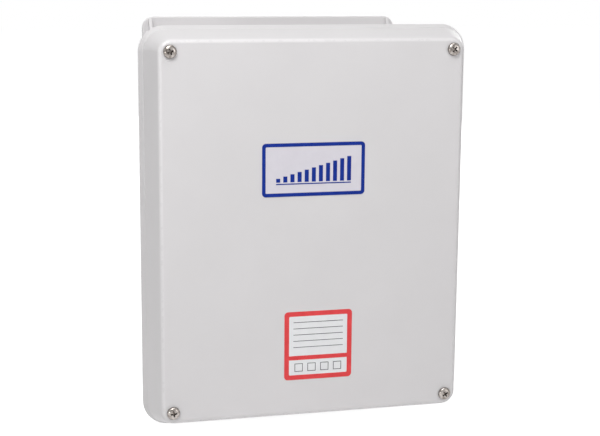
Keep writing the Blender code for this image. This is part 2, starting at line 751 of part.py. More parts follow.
def storage_capacitor(carrier, finish):
    """An upright can on its side against the chassis, its studs at the lower end."""
    profile = (
        (CAN_RADIUS - CAN_EDGE, -CAN_LENGTH),
        (CAN_RADIUS, CAN_EDGE - CAN_LENGTH),
        (CAN_RADIUS, -CAN_EDGE),
        (CAN_RADIUS - CAN_EDGE, 0),
    )
    location = (CAN_X, CAN_Y, CAN_TOP)
    can = solid("storage_capacitor", turned(profile, 2 * ROUND_STEPS), finish, carrier, location)
    studs = bmesh.new()
    for side in (-1, 1):
        place = Vector((side * STUD_SPACING / 2, 0, 0))
        ends = (-CAN_LENGTH - STUD_LENGTH, CAN_EDGE - CAN_LENGTH)
        rings = [[point + place for point in lying(circle(STUD_RADIUS, SMALL_STEPS), z)] for z in ends]
        loft_into(studs, rings)
    add(can, "studs", studs)


def strap_outline():
    """The strap's edge seen from above: foot, arch over the can, foot."""
    inner = STRAP_RADIUS - STRAP_THICKNESS
    foot = STRAP_RADIUS + STRAP_FOOT
    sole = -SEAT_GAP
    top = sole - STRAP_THICKNESS
    points = [(foot, sole), (foot, top), (STRAP_RADIUS, top)]
    for step in range(STRAP_STEPS + 1):
        angle = math.pi * step / STRAP_STEPS
        points.append((STRAP_RADIUS * math.cos(angle), CAN_Y - STRAP_RADIUS * math.sin(angle)))
    points += [(-STRAP_RADIUS, top), (-foot, top), (-foot, sole), (-inner, sole)]
    for step in range(STRAP_STEPS + 1):
        angle = math.pi - math.pi * step / STRAP_STEPS
        points.append((inner * math.cos(angle), CAN_Y - inner * math.sin(angle)))
    points.append((inner, sole))
    return points


def capacitor_strap(carrier, finish, zinc):
    edge = strap_outline()
    rings = [lying(edge, -STRAP_WIDTH / 2), lying(edge, STRAP_WIDTH / 2)]
    strap = solid("capacitor_strap", loft(rings), finish, carrier, (CAN_X, 0, STRAP_Z))
    holes = [(x - CAN_X, 0) for x, _ in strap_places()]
    bottom = -SEAT_GAP - STRAP_THICKNESS
    cut(strap, "screw_holes", columns(holes, FIXING_HOLE, bottom - OVERCUT, OVERCUT, SMALL_STEPS))
    for number, (x, z) in enumerate(strap_places(), 1):
        reach = STRAP_THICKNESS + SEAT_GAP + CHASSIS_THICKNESS + FIXING_BITE / 2
        fixing_screw(f"strap_screw_{number}", carrier, zinc, (x, bottom, z), reach)


def board_support(name, carrier, finish, place):
    """A nylon post with a barbed nose through the chassis and another through the board."""
    behind = -CHASSIS_THICKNESS - SEAT_GAP
    under = BOARD_RISE - SEAT_GAP
    over = BOARD_RISE + BOARD_THICKNESS + SEAT_GAP
    point = SUPPORT_STEM / 2
    profile = (
        (point, behind - SUPPORT_NOSE),
        (SUPPORT_BARB, behind),
        (SUPPORT_STEM, behind),
        (SUPPORT_STEM, SEAT_GAP),
        (SUPPORT_COLUMN, SEAT_GAP),
        (SUPPORT_COLUMN, under),
        (SUPPORT_STEM, under),
        (SUPPORT_STEM, over),
        (SUPPORT_BARB, over),
        (point, over + SUPPORT_NOSE),
    )
    solid(name, turned(profile, SMALL_STEPS), finish, carrier, (place[0], 0, place[1]), TO_FRONT)


def circuit_board(carrier, finish):
    sheet = outline(BOARD_WIDTH, BOARD_HEIGHT, BOARD_CORNER)
    board = solid("circuit_board", loft([facing(sheet, 0), facing(sheet, BOARD_THICKNESS)]), finish, carrier)
    holes = columns(
        corners(SUPPORT_X, SUPPORT_Z), SUPPORT_HOLE, -OVERCUT, BOARD_THICKNESS + OVERCUT, SMALL_STEPS
    )
    cut(board, "support_holes", holes)


def terminal_block(name, carrier, finish, steel, x):
    """A two-way clamp block: wires enter from below, and the clamp screws face the front."""
    front = -SEAT_GAP - TERMINAL_HEIGHT
    low = (-TERMINAL_WIDTH / 2, front, -TERMINAL_DEPTH / 2)
    high = (TERMINAL_WIDTH / 2, -SEAT_GAP, TERMINAL_DEPTH / 2)
    piece = solid(f"{name}_block", block(low, high), finish, carrier, (x, 0, TERMINAL_Z))
    ways = (-TERMINAL_PITCH / 2, TERMINAL_PITCH / 2)
    hole = TERMINAL_SCREW_RADIUS + HOLE_CLEARANCE
    entry = front + TERMINAL_HEIGHT / 2
    cut(piece, "screw_holes", columns([(way, 0) for way in ways], hole, front - OVERCUT, entry + OVERCUT))
    entries = []
    half = WIRE_ENTRY / 2
    bottom = -TERMINAL_DEPTH / 2
    for way in ways:
        entry_low = (way - half, entry, bottom - OVERCUT)
        entries.append((entry_low, (way + half, entry + WIRE_ENTRY, bottom + WIRE_ENTRY_DEPTH)))
    cut(piece, "wire_entries", boxes(entries))
    for number, way in enumerate(ways, 1):
        profile = ((TERMINAL_SCREW_RADIUS, 0), (TERMINAL_SCREW_RADIUS, TERMINAL_SCREW_LENGTH))
        inner = front + TERMINAL_SCREW_SUNK + TERMINAL_SCREW_LENGTH
        screw = solid(
            f"{name}_screw_{number}",
            turned(profile, ROUND_STEPS),
            steel,
            carrier,
            (x + way, inner, TERMINAL_Z),
            TO_FRONT,
        )
        reach = TERMINAL_SCREW_RADIUS + OVERCUT
        groove_low = (-reach, -TERMINAL_SLOT_WIDTH / 2, TERMINAL_SCREW_LENGTH - TERMINAL_SLOT_DEPTH)
        groove_high = (reach, TERMINAL_SLOT_WIDTH / 2, TERMINAL_SCREW_LENGTH + OVERCUT)
        cut(screw, "slot", boxes([(groove_low, groove_high)]))


def fuse_and_holder(carrier, finish, fuse_finish):
    """A glass fuse lying in an open trough above the supply terminals."""
    bore = FUSE_RADIUS + FUSE_CAP + SEAT_GAP
    half = bore + FUSE_WALL
    length = FUSE_LENGTH / 2 + FUSE_WALL
    axis_y = -SEAT_GAP - FUSE_BED - bore
    z = TERMINAL_Z + TERMINAL_DEPTH / 2 + FUSE_ABOVE_TERMINAL + half
    low = (-length, axis_y, -half)
    holder = solid(
        "fuse_holder", block(low, (length, -SEAT_GAP, half)), finish, carrier, (TERMINAL_X, 0, z)
    )
    ring = [(x + axis_y, y) for x, y in circle(bore, ROUND_STEPS)]
    reach = FUSE_LENGTH / 2 + SEAT_GAP
    cut(holder, "trough", loft([sideways(ring, -reach), sideways(ring, reach)]))
    cap = FUSE_RADIUS + FUSE_CAP
    end = FUSE_LENGTH / 2
    neck = end - FUSE_CAP_LENGTH
    profile = (
        (cap, -end),
        (cap, -neck),
        (FUSE_RADIUS, -neck),
        (FUSE_RADIUS, neck),
        (cap, neck),
        (cap, end),
    )
    along = (0, math.pi / 2, 0)
    solid("fuse", turned(profile, ROUND_STEPS), fuse_finish, carrier, (TERMINAL_X, axis_y, z), along)


def heat_sink_and_thyristor(carrier, alloy, black):
    """An extruded comb stood on the board, with the switching device against its flat back."""
    pitch = (SINK_WIDTH - SINK_FIN) / (SINK_FINS - 1)
    comb = [(SINK_WIDTH / 2, 0), (SINK_WIDTH / 2, SINK_BASE + SINK_FIN_LENGTH)]
    for fin in range(SINK_FINS):
        right = SINK_WIDTH / 2 - fin * pitch
        left = right - SINK_FIN
        if fin:
            comb += [(right, SINK_BASE), (right, SINK_BASE + SINK_FIN_LENGTH)]
        comb.append((left, SINK_BASE + SINK_FIN_LENGTH))
        if fin < SINK_FINS - 1:
            comb.append((left, SINK_BASE))
    comb.append((-SINK_WIDTH / 2, 0))
    x = -BOARD_WIDTH / 2 + SINK_FROM_LEFT + SINK_WIDTH / 2
    z = BOARD_HEIGHT / 2 - SINK_FROM_TOP
    rings = [facing(comb, -SEAT_GAP), facing(comb, -SEAT_GAP - SINK_HEIGHT)]
    solid("heat_sink", loft(rings), alloy, carrier, (x, 0, z))
    foot = -SEAT_GAP - DEVICE_STAND
    package = [
        (foot, 0),
        (foot, -DEVICE_BODY),
        (foot - DEVICE_BODY_LENGTH, -DEVICE_BODY),
        (foot - DEVICE_BODY_LENGTH, -DEVICE_TAB),
        (foot - DEVICE_LENGTH, -DEVICE_TAB),
        (foot - DEVICE_LENGTH, 0),
    ]
    rings = [sideways(package, -DEVICE_WIDTH / 2), sideways(package, DEVICE_WIDTH / 2)]
    device = solid("thyristor", loft(rings), black, carrier, (x, 0, z - SEAT_GAP))
    legs = []
    for number in (-1, 0, 1):
        middle = number * DEVICE_LEG_PITCH
        low = (middle - DEVICE_LEG / 2, foot - OVERCUT, -DEVICE_BODY / 2 - DEVICE_LEG / 2)
        legs.append((low, (middle + DEVICE_LEG / 2, -SEAT_GAP, -DEVICE_BODY / 2 + DEVICE_LEG / 2)))
    add(device, "legs", boxes(legs))


def bridge_rectifier(carrier, finish):
    """A flat four-legged block beside the supply terminals."""
    base = -SEAT_GAP - BRIDGE_STAND
    low = (-BRIDGE_WIDTH / 2, base - BRIDGE_HEIGHT, -BRIDGE_DEPTH / 2)
    high = (BRIDGE_WIDTH / 2, base, BRIDGE_DEPTH / 2)
    x = TERMINAL_X - TERMINAL_WIDTH / 2 - FUSE_ABOVE_TERMINAL - BRIDGE_WIDTH / 2
    piece = solid("bridge_rectifier", block(low, high), finish, carrier, (x, 0, TERMINAL_Z))
    legs = []
    for number in range(BRIDGE_LEGS):
        middle = (number - (BRIDGE_LEGS - 1) / 2) * BRIDGE_LEG_PITCH
        leg_low = (middle - BRIDGE_LEG / 2, base - OVERCUT, -BRIDGE_LEG / 2)
        legs.append((leg_low, (middle + BRIDGE_LEG / 2, -SEAT_GAP, BRIDGE_LEG / 2)))
    add(piece, "legs", boxes(legs))


def charging_resistor(carrier, finish):
    """A ceramic power resistor bridged between two feet."""
    half = RESISTOR_LENGTH / 2
    sole = -SEAT_GAP
    belly = sole - RESISTOR_FOOT
    top = belly - RESISTOR_SIDE
    step = half - RESISTOR_FOOT
    arch = [(half, sole), (half, top), (-half, top), (-half, sole)]
    arch += [(-step, sole), (-step, belly), (step, belly), (step, sole)]
    rings = [lying(arch, -RESISTOR_SIDE / 2), lying(arch, RESISTOR_SIDE / 2)]
    x = BOARD_WIDTH / 2 - RESISTOR_FROM_RIGHT - half
    solid("charging_resistor", loft(rings), finish, carrier, (x, 0, BOARD_HEIGHT / 2 - RESISTOR_FROM_TOP))


def smooth_route(points):
    """Points along a smooth curve through a route's own points."""
    route = [2 * points[0] - points[1], *points, 2 * points[-1] - points[-2]]
    smooth = []
    for index in range(1, len(route) - 2):
        before, start, end, after = route[index - 1 : index + 3]
        steps = math.ceil((end - start).length / LEAD_PITCH)
        for step in range(steps):
            t = step / steps
            pull = (end - before) * t + (2 * before - 5 * start + 4 * end - after) * t**2
            pull += (3 * start - before - 3 * end + after) * t**3
            smooth.append(start + pull / 2)
    smooth.append(points[-1])
    return smooth


def stub(place, direction):
    """The straight end of a lead, square to what it meets."""
    return [Vector(place) + LEAD_STRAIGHT * step * Vector(direction) for step in range(LEAD_STUB_POINTS)]


def lead(name, carrier, finish, points):
    """An insulated lead along its route."""
    curve = bpy.data.curves.new(name, "CURVE")
    curve.dimensions = "3D"
    curve.bevel_depth = LEAD_RADIUS
    curve.bevel_resolution = 2
    curve.use_fill_caps = True
    spline = curve.splines.new("POLY")
    route = smooth_route(points)
    spline.points.add(len(route) - 1)
    for target, point in zip(spline.points, route):
        target.co = (*point, 1)
    curve.materials.append(finish)
    piece = bpy.data.objects.new(name, curve)
    piece.parent = carrier
    bpy.context.scene.collection.objects.link(piece)


def capacitor_leads(carrier, finish):
    """From the can's studs down and back into the board."""
    start_z = CAN_TOP - CAN_LENGTH - STUD_LENGTH - SEAT_GAP
    end_z = BOARD_Z + BOARD_HEIGHT / 2 - LEAD_FROM_TOP
    for number, side in enumerate((-1, 1), 1):
        x = CAN_X + side * STUD_SPACING / 2
        start = stub((x, CAN_Y, start_z), (0, 0, -1))
        end = stub((x, BOARD_Y - SEAT_GAP, end_z), (0, -1, 0))
        lead(f"capacitor_lead_{number}", carrier, finish, start + end[::-1])


def winding_leads(carrier, red, white):
    """Two leads from the winding into the board, and two on to the output terminals."""
    start_y = -SEAT_GAP - CORE_STACK - WINDING_OVERHANG / 2
    start_z = CORE_Z - CORE_WINDOW_HEIGHT / 2
    half = CORE_LIMB / 2 + CORE_WINDOW_WIDTH - WINDING_CORNER - LEAD_RADIUS
    clear_z = CORE_Z - CORE_HEIGHT / 2
    board_z = BOARD_Z + BOARD_HEIGHT / 2 - LEAD_FROM_TOP
    block_y = BOARD_Y - SEAT_GAP - TERMINAL_HEIGHT / 2
    block_z = BOARD_Z + TERMINAL_Z + TERMINAL_DEPTH / 2 + SEAT_GAP
    for number in (0, 1):
        x = CORE_X + half - number * LEAD_SPACING
        start = stub((x, start_y, start_z), (0, 0, -1))
        end = stub((x, BOARD_Y - SEAT_GAP, board_z), (0, -1, 0))
        lead(f"primary_lead_{number + 1}", carrier, red, [*start, Vector((x, start_y, clear_z)), *end[::-1]])
        x = CORE_X - half + number * LEAD_SPACING
        start = stub((x, start_y, start_z), (0, 0, -1))
        end = stub((-TERMINAL_X + (number - 0.5) * TERMINAL_PITCH, block_y, block_z), (0, 0, 1))
        middle = [
            Vector((x, start_y, clear_z)),
            Vector((x, block_y - LEAD_SIDE, BOARD_Z + BOARD_HEIGHT / 4)),
        ]
        lead(f"output_lead_{number + 1}", carrier, white, [*start, *middle, *end[::-1]])


def cable_gland(name, carrier, black, rubber, x):
    """Body through the bottom wall, lock nut inside, and a seal under a screwed dome nut."""
    location = (x, -GLAND_FROM_WALL, GLAND_FACE)
    inside = -GLAND_PAD - SEAT_GAP
    thread_end = inside - GLAND_NUT_HEIGHT - GLAND_THREAD_END
    shoulder = SEAT_GAP + GLAND_FLANGE_HEIGHT
    neck_end = shoulder + GLAND_NECK_LENGTH
    seat = GLAND_SEAL + SEAT_GAP
    body = (
        (GLAND_THREAD, thread_end),
        (GLAND_THREAD, SEAT_GAP),
        (GLAND_FLANGE, SEAT_GAP, HEX_SIDES),
        (GLAND_FLANGE, shoulder, HEX_SIDES),
        (GLAND_NECK, shoulder),
        (GLAND_NECK, neck_end),
        (seat, neck_end),
        (seat, shoulder),
        (GLAND_BORE, shoulder),
        (GLAND_BORE, thread_end),
    )
    solid(f"{name}_body", turned(body, HEX_STEPS, True), black, carrier, location, TO_FLOOR)
    nut_bore = GLAND_THREAD + HOLE_CLEARANCE
    nut = (
        (GLAND_FLANGE, inside - GLAND_NUT_HEIGHT, HEX_SIDES),
        (GLAND_FLANGE, inside, HEX_SIDES),
        (nut_bore, inside),
        (nut_bore, inside - GLAND_NUT_HEIGHT),
    )
    solid(f"{name}_lock_nut", turned(nut, HEX_STEPS, True), black, carrier, location, TO_FLOOR)
    seal_start = shoulder + SEAT_GAP
    seal = (
        (GLAND_SEAL, seal_start),
        (GLAND_SEAL, neck_end),
        (GLAND_SEAL_BORE, neck_end),
        (GLAND_SEAL_BORE, seal_start),
    )
    solid(f"{name}_seal", turned(seal, HEX_STEPS, True), rubber, carrier, location, TO_FLOOR)
    dome_start = shoulder + SEAT_GAP
    dome_bore = GLAND_NECK + HOLE_CLEARANCE
    outside = dome_bore + DOME_WALL
    ceiling = neck_end + SEAT_GAP
    dome_end = ceiling + DOME_TAPER + DOME_END
    dome = (
        (outside / math.cos(math.pi / HEX_SIDES), dome_start, HEX_SIDES),
        (outside / math.cos(math.pi / HEX_SIDES), dome_start + DOME_HEX, HEX_SIDES),
        (outside, dome_start + DOME_HEX),
        (outside, ceiling + DOME_TAPER),
        (GLAND_BORE + DOME_WALL, dome_end),
        (GLAND_BORE, dome_end),
        (GLAND_BORE, ceiling + DOME_TAPER),
        (dome_bore, ceiling),
        (dome_bore, dome_start),
    )
    solid(f"{name}_dome_nut", turned(dome, HEX_STEPS, True), black, carrier, location, TO_FLOOR)


def build():
    clear_scene()
    grey = material("moulded_grey", (0.66, 0.65, 0.655), 0.5)
    stainless = material("stainless_steel", (0.62, 0.62, 0.63), 0.22, 1.0)
    brass = material("brass", (0.72, 0.55, 0.24), 0.35, 1.0)
    rubber = material("black_rubber", (0.03, 0.03, 0.03), 0.85)
    nylon = material("white_nylon", (0.82, 0.81, 0.77), 0.55)
    zinc = material("zinc_plated_steel", (0.58, 0.59, 0.60), 0.38, 1.0)
    lamination = material("laminated_steel", (0.20, 0.20, 0.22), 0.5, 0.8)
    tape = material("winding_tape", (0.72, 0.56, 0.16), 0.5)
    alloy = material("can_aluminium", (0.64, 0.65, 0.67), 0.3, 1.0)
    laminate = material("board_laminate", (0.06, 0.24, 0.11), 0.45)
    green = material("terminal_green", (0.08, 0.33, 0.17), 0.5)
    black = material("black_plastic", (0.035, 0.035, 0.037), 0.5)
    ceramic = material("ceramic", (0.78, 0.76, 0.70), 0.8)
    glass = material("fuse_glass", (0.80, 0.82, 0.83), 0.15)
    red = material("red_insulation", (0.55, 0.05, 0.04), 0.45)
    white = material("white_insulation", (0.80, 0.79, 0.76), 0.45)

    base = frame("housing_frame", (0, 0, 0))
    lid = frame("cover_frame", (0, FRONT_Y, 0), base)
    chassis = frame("chassis_frame", (0, CHASSIS_Y, 0), base)
    deck = frame("board_frame", (0, BOARD_Y, BOARD_Z), chassis)

    rear_housing(base, grey)
    cover_gasket(base, rubber)
    front_cover(lid, grey)
    for number, place in enumerate(corners(SCREW_X, SCREW_Z), 1):
        cover_screw(f"cover_screw_{number}", lid, stainless, place)
        seat = (place[0], COVER_DEPTH - RETAINER_ROOM + SEAT_GAP + RETAINER_THICKNESS, place[1])
        name = f"screw_retainer_{number}"
        ring_piece(name, RETAINER_BORE, RETAINER_RADIUS, RETAINER_THICKNESS, nylon, lid, seat)
        threaded_insert(f"threaded_insert_{number}", base, brass, place)

    chassis_plate(chassis, zinc)
    for number, (x, z) in enumerate(corners(CHASSIS_HOLE_X, CHASSIS_HOLE_Z), 1):
        reach = CHASSIS_THICKNESS + SEAT_GAP + FIXING_BITE
        fixing_screw(f"chassis_screw_{number}", chassis, zinc, (x, 0, z), reach)
    transformer(chassis, lamination, tape, zinc)
    storage_capacitor(chassis, alloy)
    capacitor_strap(chassis, zinc, zinc)
    for number, place in enumerate(support_places(), 1):
        board_support(f"board_support_{number}", chassis, nylon, place)
    capacitor_leads(chassis, red)
    winding_leads(chassis, red, white)

    circuit_board(deck, laminate)
    terminal_block("supply_terminal", deck, green, zinc, TERMINAL_X)
    terminal_block("output_terminal", deck, green, zinc, -TERMINAL_X)
    fuse_and_holder(deck, black, glass)
    heat_sink_and_thyristor(deck, alloy, black)
    bridge_rectifier(deck, black)
    charging_resistor(deck, ceramic)

    cable_gland("supply_gland", base, black, rubber, GLAND_SPACING / 2)
    cable_gland("output_gland", base, black, rubber, -GLAND_SPACING / 2)


build()
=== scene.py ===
"""Looks of the fence energizer: fine shells, finishes, plain labels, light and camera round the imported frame.

Metres, +Z up. The wall is at y = 0 and the cover faces -Y, as in the frame.
"""

import json
from math import atan, copysign, cos, pi, radians, sin, tan

import bmesh
import bpy
from mathutils import Matrix, Vector

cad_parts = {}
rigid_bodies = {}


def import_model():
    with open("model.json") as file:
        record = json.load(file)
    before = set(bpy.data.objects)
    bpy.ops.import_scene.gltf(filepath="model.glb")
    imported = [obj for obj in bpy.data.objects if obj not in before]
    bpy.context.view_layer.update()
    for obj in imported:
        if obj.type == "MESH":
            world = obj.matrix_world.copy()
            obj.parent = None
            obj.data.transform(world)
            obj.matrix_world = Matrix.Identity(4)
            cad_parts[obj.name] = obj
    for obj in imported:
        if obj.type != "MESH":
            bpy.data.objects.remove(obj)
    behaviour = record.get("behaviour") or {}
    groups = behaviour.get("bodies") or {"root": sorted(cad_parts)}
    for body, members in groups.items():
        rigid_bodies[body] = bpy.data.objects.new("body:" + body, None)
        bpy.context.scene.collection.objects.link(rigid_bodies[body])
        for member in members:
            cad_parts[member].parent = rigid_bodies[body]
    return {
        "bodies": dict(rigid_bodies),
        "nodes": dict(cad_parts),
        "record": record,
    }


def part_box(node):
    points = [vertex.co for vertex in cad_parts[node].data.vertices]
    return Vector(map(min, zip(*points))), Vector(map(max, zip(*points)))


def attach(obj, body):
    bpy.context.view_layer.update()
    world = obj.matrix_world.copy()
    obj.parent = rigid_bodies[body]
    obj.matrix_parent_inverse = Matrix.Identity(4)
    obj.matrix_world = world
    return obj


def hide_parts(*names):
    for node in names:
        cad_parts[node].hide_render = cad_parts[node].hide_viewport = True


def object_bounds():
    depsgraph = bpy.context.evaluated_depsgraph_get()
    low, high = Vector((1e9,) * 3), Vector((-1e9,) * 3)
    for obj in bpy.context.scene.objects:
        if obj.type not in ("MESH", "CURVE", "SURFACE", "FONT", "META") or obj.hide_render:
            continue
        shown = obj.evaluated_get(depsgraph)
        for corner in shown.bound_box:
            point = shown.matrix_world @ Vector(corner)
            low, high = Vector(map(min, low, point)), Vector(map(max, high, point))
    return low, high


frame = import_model()
cad_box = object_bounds()

# Camera at the photograph's angle
CAMERA_PLACE = Vector((-0.2663, -1.1484, 0.2049))
CAMERA_AZIMUTH = radians(-14.40)
CAMERA_ELEVATION = radians(10.72)
CAMERA_ROLL = radians(0.446)
CAMERA_LENS = 81.8
CAMERA_SENSOR = 36

# Light
AMBIENT = 0.14
FLOOR_GLOW = 0.89
FLOOR_COLOUR = 0.8
FLOOR_ROUGHNESS = 0.9
FLOOR_SIZE = 6
FLOOR_GAP = 0.0003
AIM = Vector((0, -0.1, 0))
# Name, place, width, height and watts
LAMPS = (
    ("side", (-0.95, -1.05, -0.03), 0.3, 0.22, 1.9),
    ("front", (-0.35, -0.75, 0.8), 0.5, 0.4, 6.7),
    ("top", (0, -0.4, 1.3), 0.8, 0.8, 4.6),
    ("fill", (0.9, -1.3, 0.3), 0.8, 0.8, 3.9),
    ("back", (0.6, 1.8, 0.45), 2.2, 1.0, 11),
)

# Fits shared by all pieces
SEAT_GAP = 0.0003
CLEARANCE = 0.0004
OVERCUT = 0.001

# Cover: the raised lid's slope, edges, walls and screw posts
COVER_FLARE_X = 0.0082
COVER_FLARE_Z = 0.0068
FACE_CORNER = 0.0097
LID_CORNER = 0.0172
FACE_ROUND = 0.0042
LIP_ROUND = 0.0008
COVER_WALL = 0.0035
COVER_LAND = 0.0035
LAND_INSET = 0.0105
POST_RADIUS = 0.007
POCKET_RADIUS = 0.0054
POCKET_DEPTH = 0.0026

# Housing: rim, gasket groove, drafted tub and mounting plate
HOUSING_WALL = 0.004
HOUSING_DEPTH = 0.1301
RIM_DEPTH = 0.0074
RIM_STEP = 0.0005
RIM_FLARE_X = 0.0025
RIM_FLARE_Z = 0.0021
RIM_ROUND = 0.0025
RIM_OVERHANG = 0.0179
RIM_FILLET = 0.002
FLOOR_FILLET = 0.003
BODY_DRAFT = 0.003
BODY_CORNER = 0.018
BACK_EDGE = 0.001
GASKET_INSET = 0.007
GASKET_WIDTH = 0.005
GROOVE_DEPTH = 0.0025
FLANGE_REACH = 0.0222
FLANGE_SIDE = 0.0006
FLANGE_THICKNESS = 0.006
FLANGE_CORNER = 0.0095
RIB_THICKNESS = 0.003
RIB_REACH = 0.014
RIB_TIP = 0.0015
RIB_FROM_SIDE = 0.0063
RIB_EDGE = 0.0006
SLOT_LENGTH = 0.014
SLOT_WIDTH = 0.007
SLOT_SPACING = 0.12
SLOT_RISE = 0.0095
SLOT_CHAMFER = 0.0006
INSERT_HOLE = 0.0041
INSERT_BOSS = 0.0074
INSERT_BOSS_DEPTH = 0.0196
INSERT_HOLE_DEPTH = 0.0146
CHASSIS_BOSS_HEIGHT = 0.009
CHASSIS_BOSS_RADIUS = 0.006
CHASSIS_BITE = 0.008

# Cover screws and their rings
HEAD_SIDE = 0.0009
HEAD_CROWN = 0.0018
HEAD_CROWN_DROP = 0.00012
HEAD_EDGE = 0.0002
SHANK_RADIUS = 0.0025
THREAD_PITCH = 0.0008
THREAD_DEPTH = 0.0004
THREAD_LENGTH = 0.016
RECESS_ARMS = 4
RECESS_REACH = 0.0031
RECESS_FLOOR = 0.0013
RECESS_WIDTH = 0.0013
RECESS_FLOOR_WIDTH = 0.0009
RECESS_WEB = 0.0004
RECESS_DEPTH = 0.0021
SCREW_TURNS = (20, 52, 8, 33)
RING_EDGE = 0.0003
INSERT_GROOVE = 0.0004

# Small fixings with a hexagon head
FIXING_RADIUS = 0.0017
FIXING_HEAD_HEIGHT = 0.0024
FIXING_THREAD_LENGTH = 0.005
FIXING_PITCH = 0.0007
FIXING_RIDGE = 0.0003
HEX_EDGE = 0.0005

# Cable glands
GLANDS = ("supply_gland", "output_gland")
GLAND_PAD_RADIUS = 0.015
GLAND_PAD_PROUD = 0.0005
GLAND_THREAD = 0.008
GLAND_PITCH = 0.0015
GLAND_RIDGE = 0.0005
GLAND_BORE = 0.0052
GLAND_FLANGE = 0.0125
GLAND_FLANGE_HEIGHT = 0.005
GLAND_NECK = 0.009
GLAND_NECK_LENGTH = 0.009
GLAND_SEAL = 0.0066
GLAND_SEAL_BORE = 0.0042
GLAND_NUT_HEIGHT = 0.005
GLAND_THREAD_END = 0.0025
DOME_WALL = 0.0022
DOME_TAPER = 0.003
DOME_END = 0.004
DOME_HEX = 0.008

# Transformer
SHEETS = 34
SHEET_GAP = 0.00012
SHEET_STAGGER = 0.00015
CORE_LIMB = 0.0254
CORE_WINDOW = (0.0127, 0.038)
BOBBIN_FLANGE = 0.0012
WINDING_CORNER = 0.004
TAPE_INSET = 0.0008
TAPE_STEP = 0.00025
TAPE_TURNS = 5

# Storage capacitor and strap
CAN_EDGE = 0.002
CAN_RIM = 0.0025
CAN_BEAD = 0.009
CAN_BEAD_DEPTH = 0.0012
CAN_SUNK = 0.0012
STUD_RADIUS = 0.0025
STUD_LENGTH = 0.006
STUD_SPACING = 0.018
STRAP_THICKNESS = 0.0015
STRAP_EDGE = 0.0004
STRAP_STEPS = 48

# Pieces on the circuit board
SUPPORT_STEM = 0.0016
SUPPORT_BARB = 0.0026
SUPPORT_COLUMN = 0.0036
SUPPORT_NOSE = 0.0024
TERMINAL_SLOT_WIDTH = 0.0008
TERMINAL_SLOT_DEPTH = 0.001
FUSE_CAP = 0.0003
FUSE_CAP_LENGTH = 0.005
FUSE_GLASS_WALL = 0.0005
FUSE_WIRE = 0.0002
DEVICE_BODY = 0.0045
DEVICE_TAB = 0.0014
DEVICE_BODY_LENGTH = 0.009
DEVICE_LENGTH = 0.0155
DEVICE_LEG = 0.0009
DEVICE_LEG_PITCH = 0.0028
DEVICE_LEGS = 3
BRIDGE_HEIGHT = 0.006
BRIDGE_LEG = 0.0012
BRIDGE_LEG_PITCH = 0.005
BRIDGE_LEGS = 4
BLOCK_EDGE = 0.0006
LEG_EDGE = 0.00015
OUTLINE_MARGIN = 0.0009
OUTLINE_WIDTH = 0.0004
TRACK_WIDTH = 0.0016
INK = 0.00005
INK_STEP = 0.000003

# Labels on the cover: a plate with a rising scale, and a ruled card
LABEL_THICKNESS = 0.0002
PRINT_THICKNESS = 0.00006
LABEL_CORNER = 0.003
LABEL_INNER_CORNER = 0.0008
NAME_CENTRE = (-0.0004, 0.048)
NAME_SIZE = (0.0811, 0.0411)
NAME_BORDER = 0.0028
NAME_BARS = 11
NAME_BAR_WIDTH = 0.0032
NAME_BAR_PITCH = 0.0056
NAME_BAR_SHORT = 0.003
NAME_BAR_TALL = 0.019
NAME_BASE = -0.0095
NAME_LINE = 0.0009
CARD_CENTRE = (0.0044, -0.0909)
CARD_SIZE = (0.0545, 0.0549)
CARD_BORDER = 0.0038
CARD_BAND = 0.0034
CARD_BAND_DROP = 0.0098
CARD_RULES = 5
CARD_RULE_PITCH = 0.005
CARD_RULE_TOP = 0.0188
CARD_RULE_LENGTH = 0.04
CARD_RULE = 0.00045
CARD_BOXES = 4
CARD_BOX = (0.0066, 0.0066)
CARD_BOX_PITCH = 0.0104
CARD_BOX_DROP = 0.0176

# Finishes: colours from dark to light, ranges of roughness, and the size of what varies
NOISE_MIDDLE = (0.3, 0.7)
GREY = ((0.655, 0.64, 0.647), (0.672, 0.657, 0.664))
GREY_ROUGH = (0.33, 0.4)
GREY_SHEEN = 0.4
FLOW_SIZE = 0.045
SATIN_SIZE = 0.004
PEBBLE_SIZE = 0.0009
PEBBLE_RELIEF = 0.00001
# Steel colours kept dark as a painted dark reflection; the mottle between them varies at random
DARKENED_STEEL = ((0.15, 0.13, 0.115), (0.4, 0.37, 0.35))
STEEL_ROUGH = (0.14, 0.28)
STAIN_SIZE = 0.0022
SMEAR_SIZE = 0.0006
SCRATCH_SIZE = 0.0004
SCRATCH_STRETCH = (8, 1, 1)
SCRATCH_RELIEF = 0.000008
# Painted shade: dark brown laid in the screw recesses and corners by an occlusion mask
RECESS_SHADE = (0.03, 0.02, 0.015)
RECESS_SHADE_REACH = 0.003
PLAIN_SIZE = 0.006
PLAIN_UNEVEN = 0.15
PLAIN_GRAIN = 0.0008
PLAIN_RELIEF = 0.00001
INKS = ("label_grey", "label_blue", "label_red")
INK_GLOSS = 0.1
WHITE = (1, 1, 1)
# The Mix node's sockets for colours
MIX_INPUTS = (0, 6, 7)
MIX_RESULT = 2

# The cover's front edge carries a painted highlight, a lighter band that is also smoother: depths behind the
# face over which that sets in and fades
HIGHLIGHT_GREY = (0.705, 0.69, 0.697)
HIGHLIGHT_SMOOTHER = -0.08
HIGHLIGHT_RISE = (0.00003, 0.0002)
HIGHLIGHT_FALL = (0.0009, 0.0022)

# Facets
CORNER_STEPS = 16
EDGE_STEPS = 8
ROUND_STEPS = 48
THREAD_ROWS = 6
SECTION_STEPS = 16
HEX_SIDES = 6
EASE_SEGMENTS = 3
FINE_SEGMENTS = 2
SMOOTH_ANGLE = radians(35)
QUARTER = [pi / 2 * step / EDGE_STEPS for step in range(EDGE_STEPS + 1)]
ROUND = [2 * pi * step / ROUND_STEPS for step in range(ROUND_STEPS)]

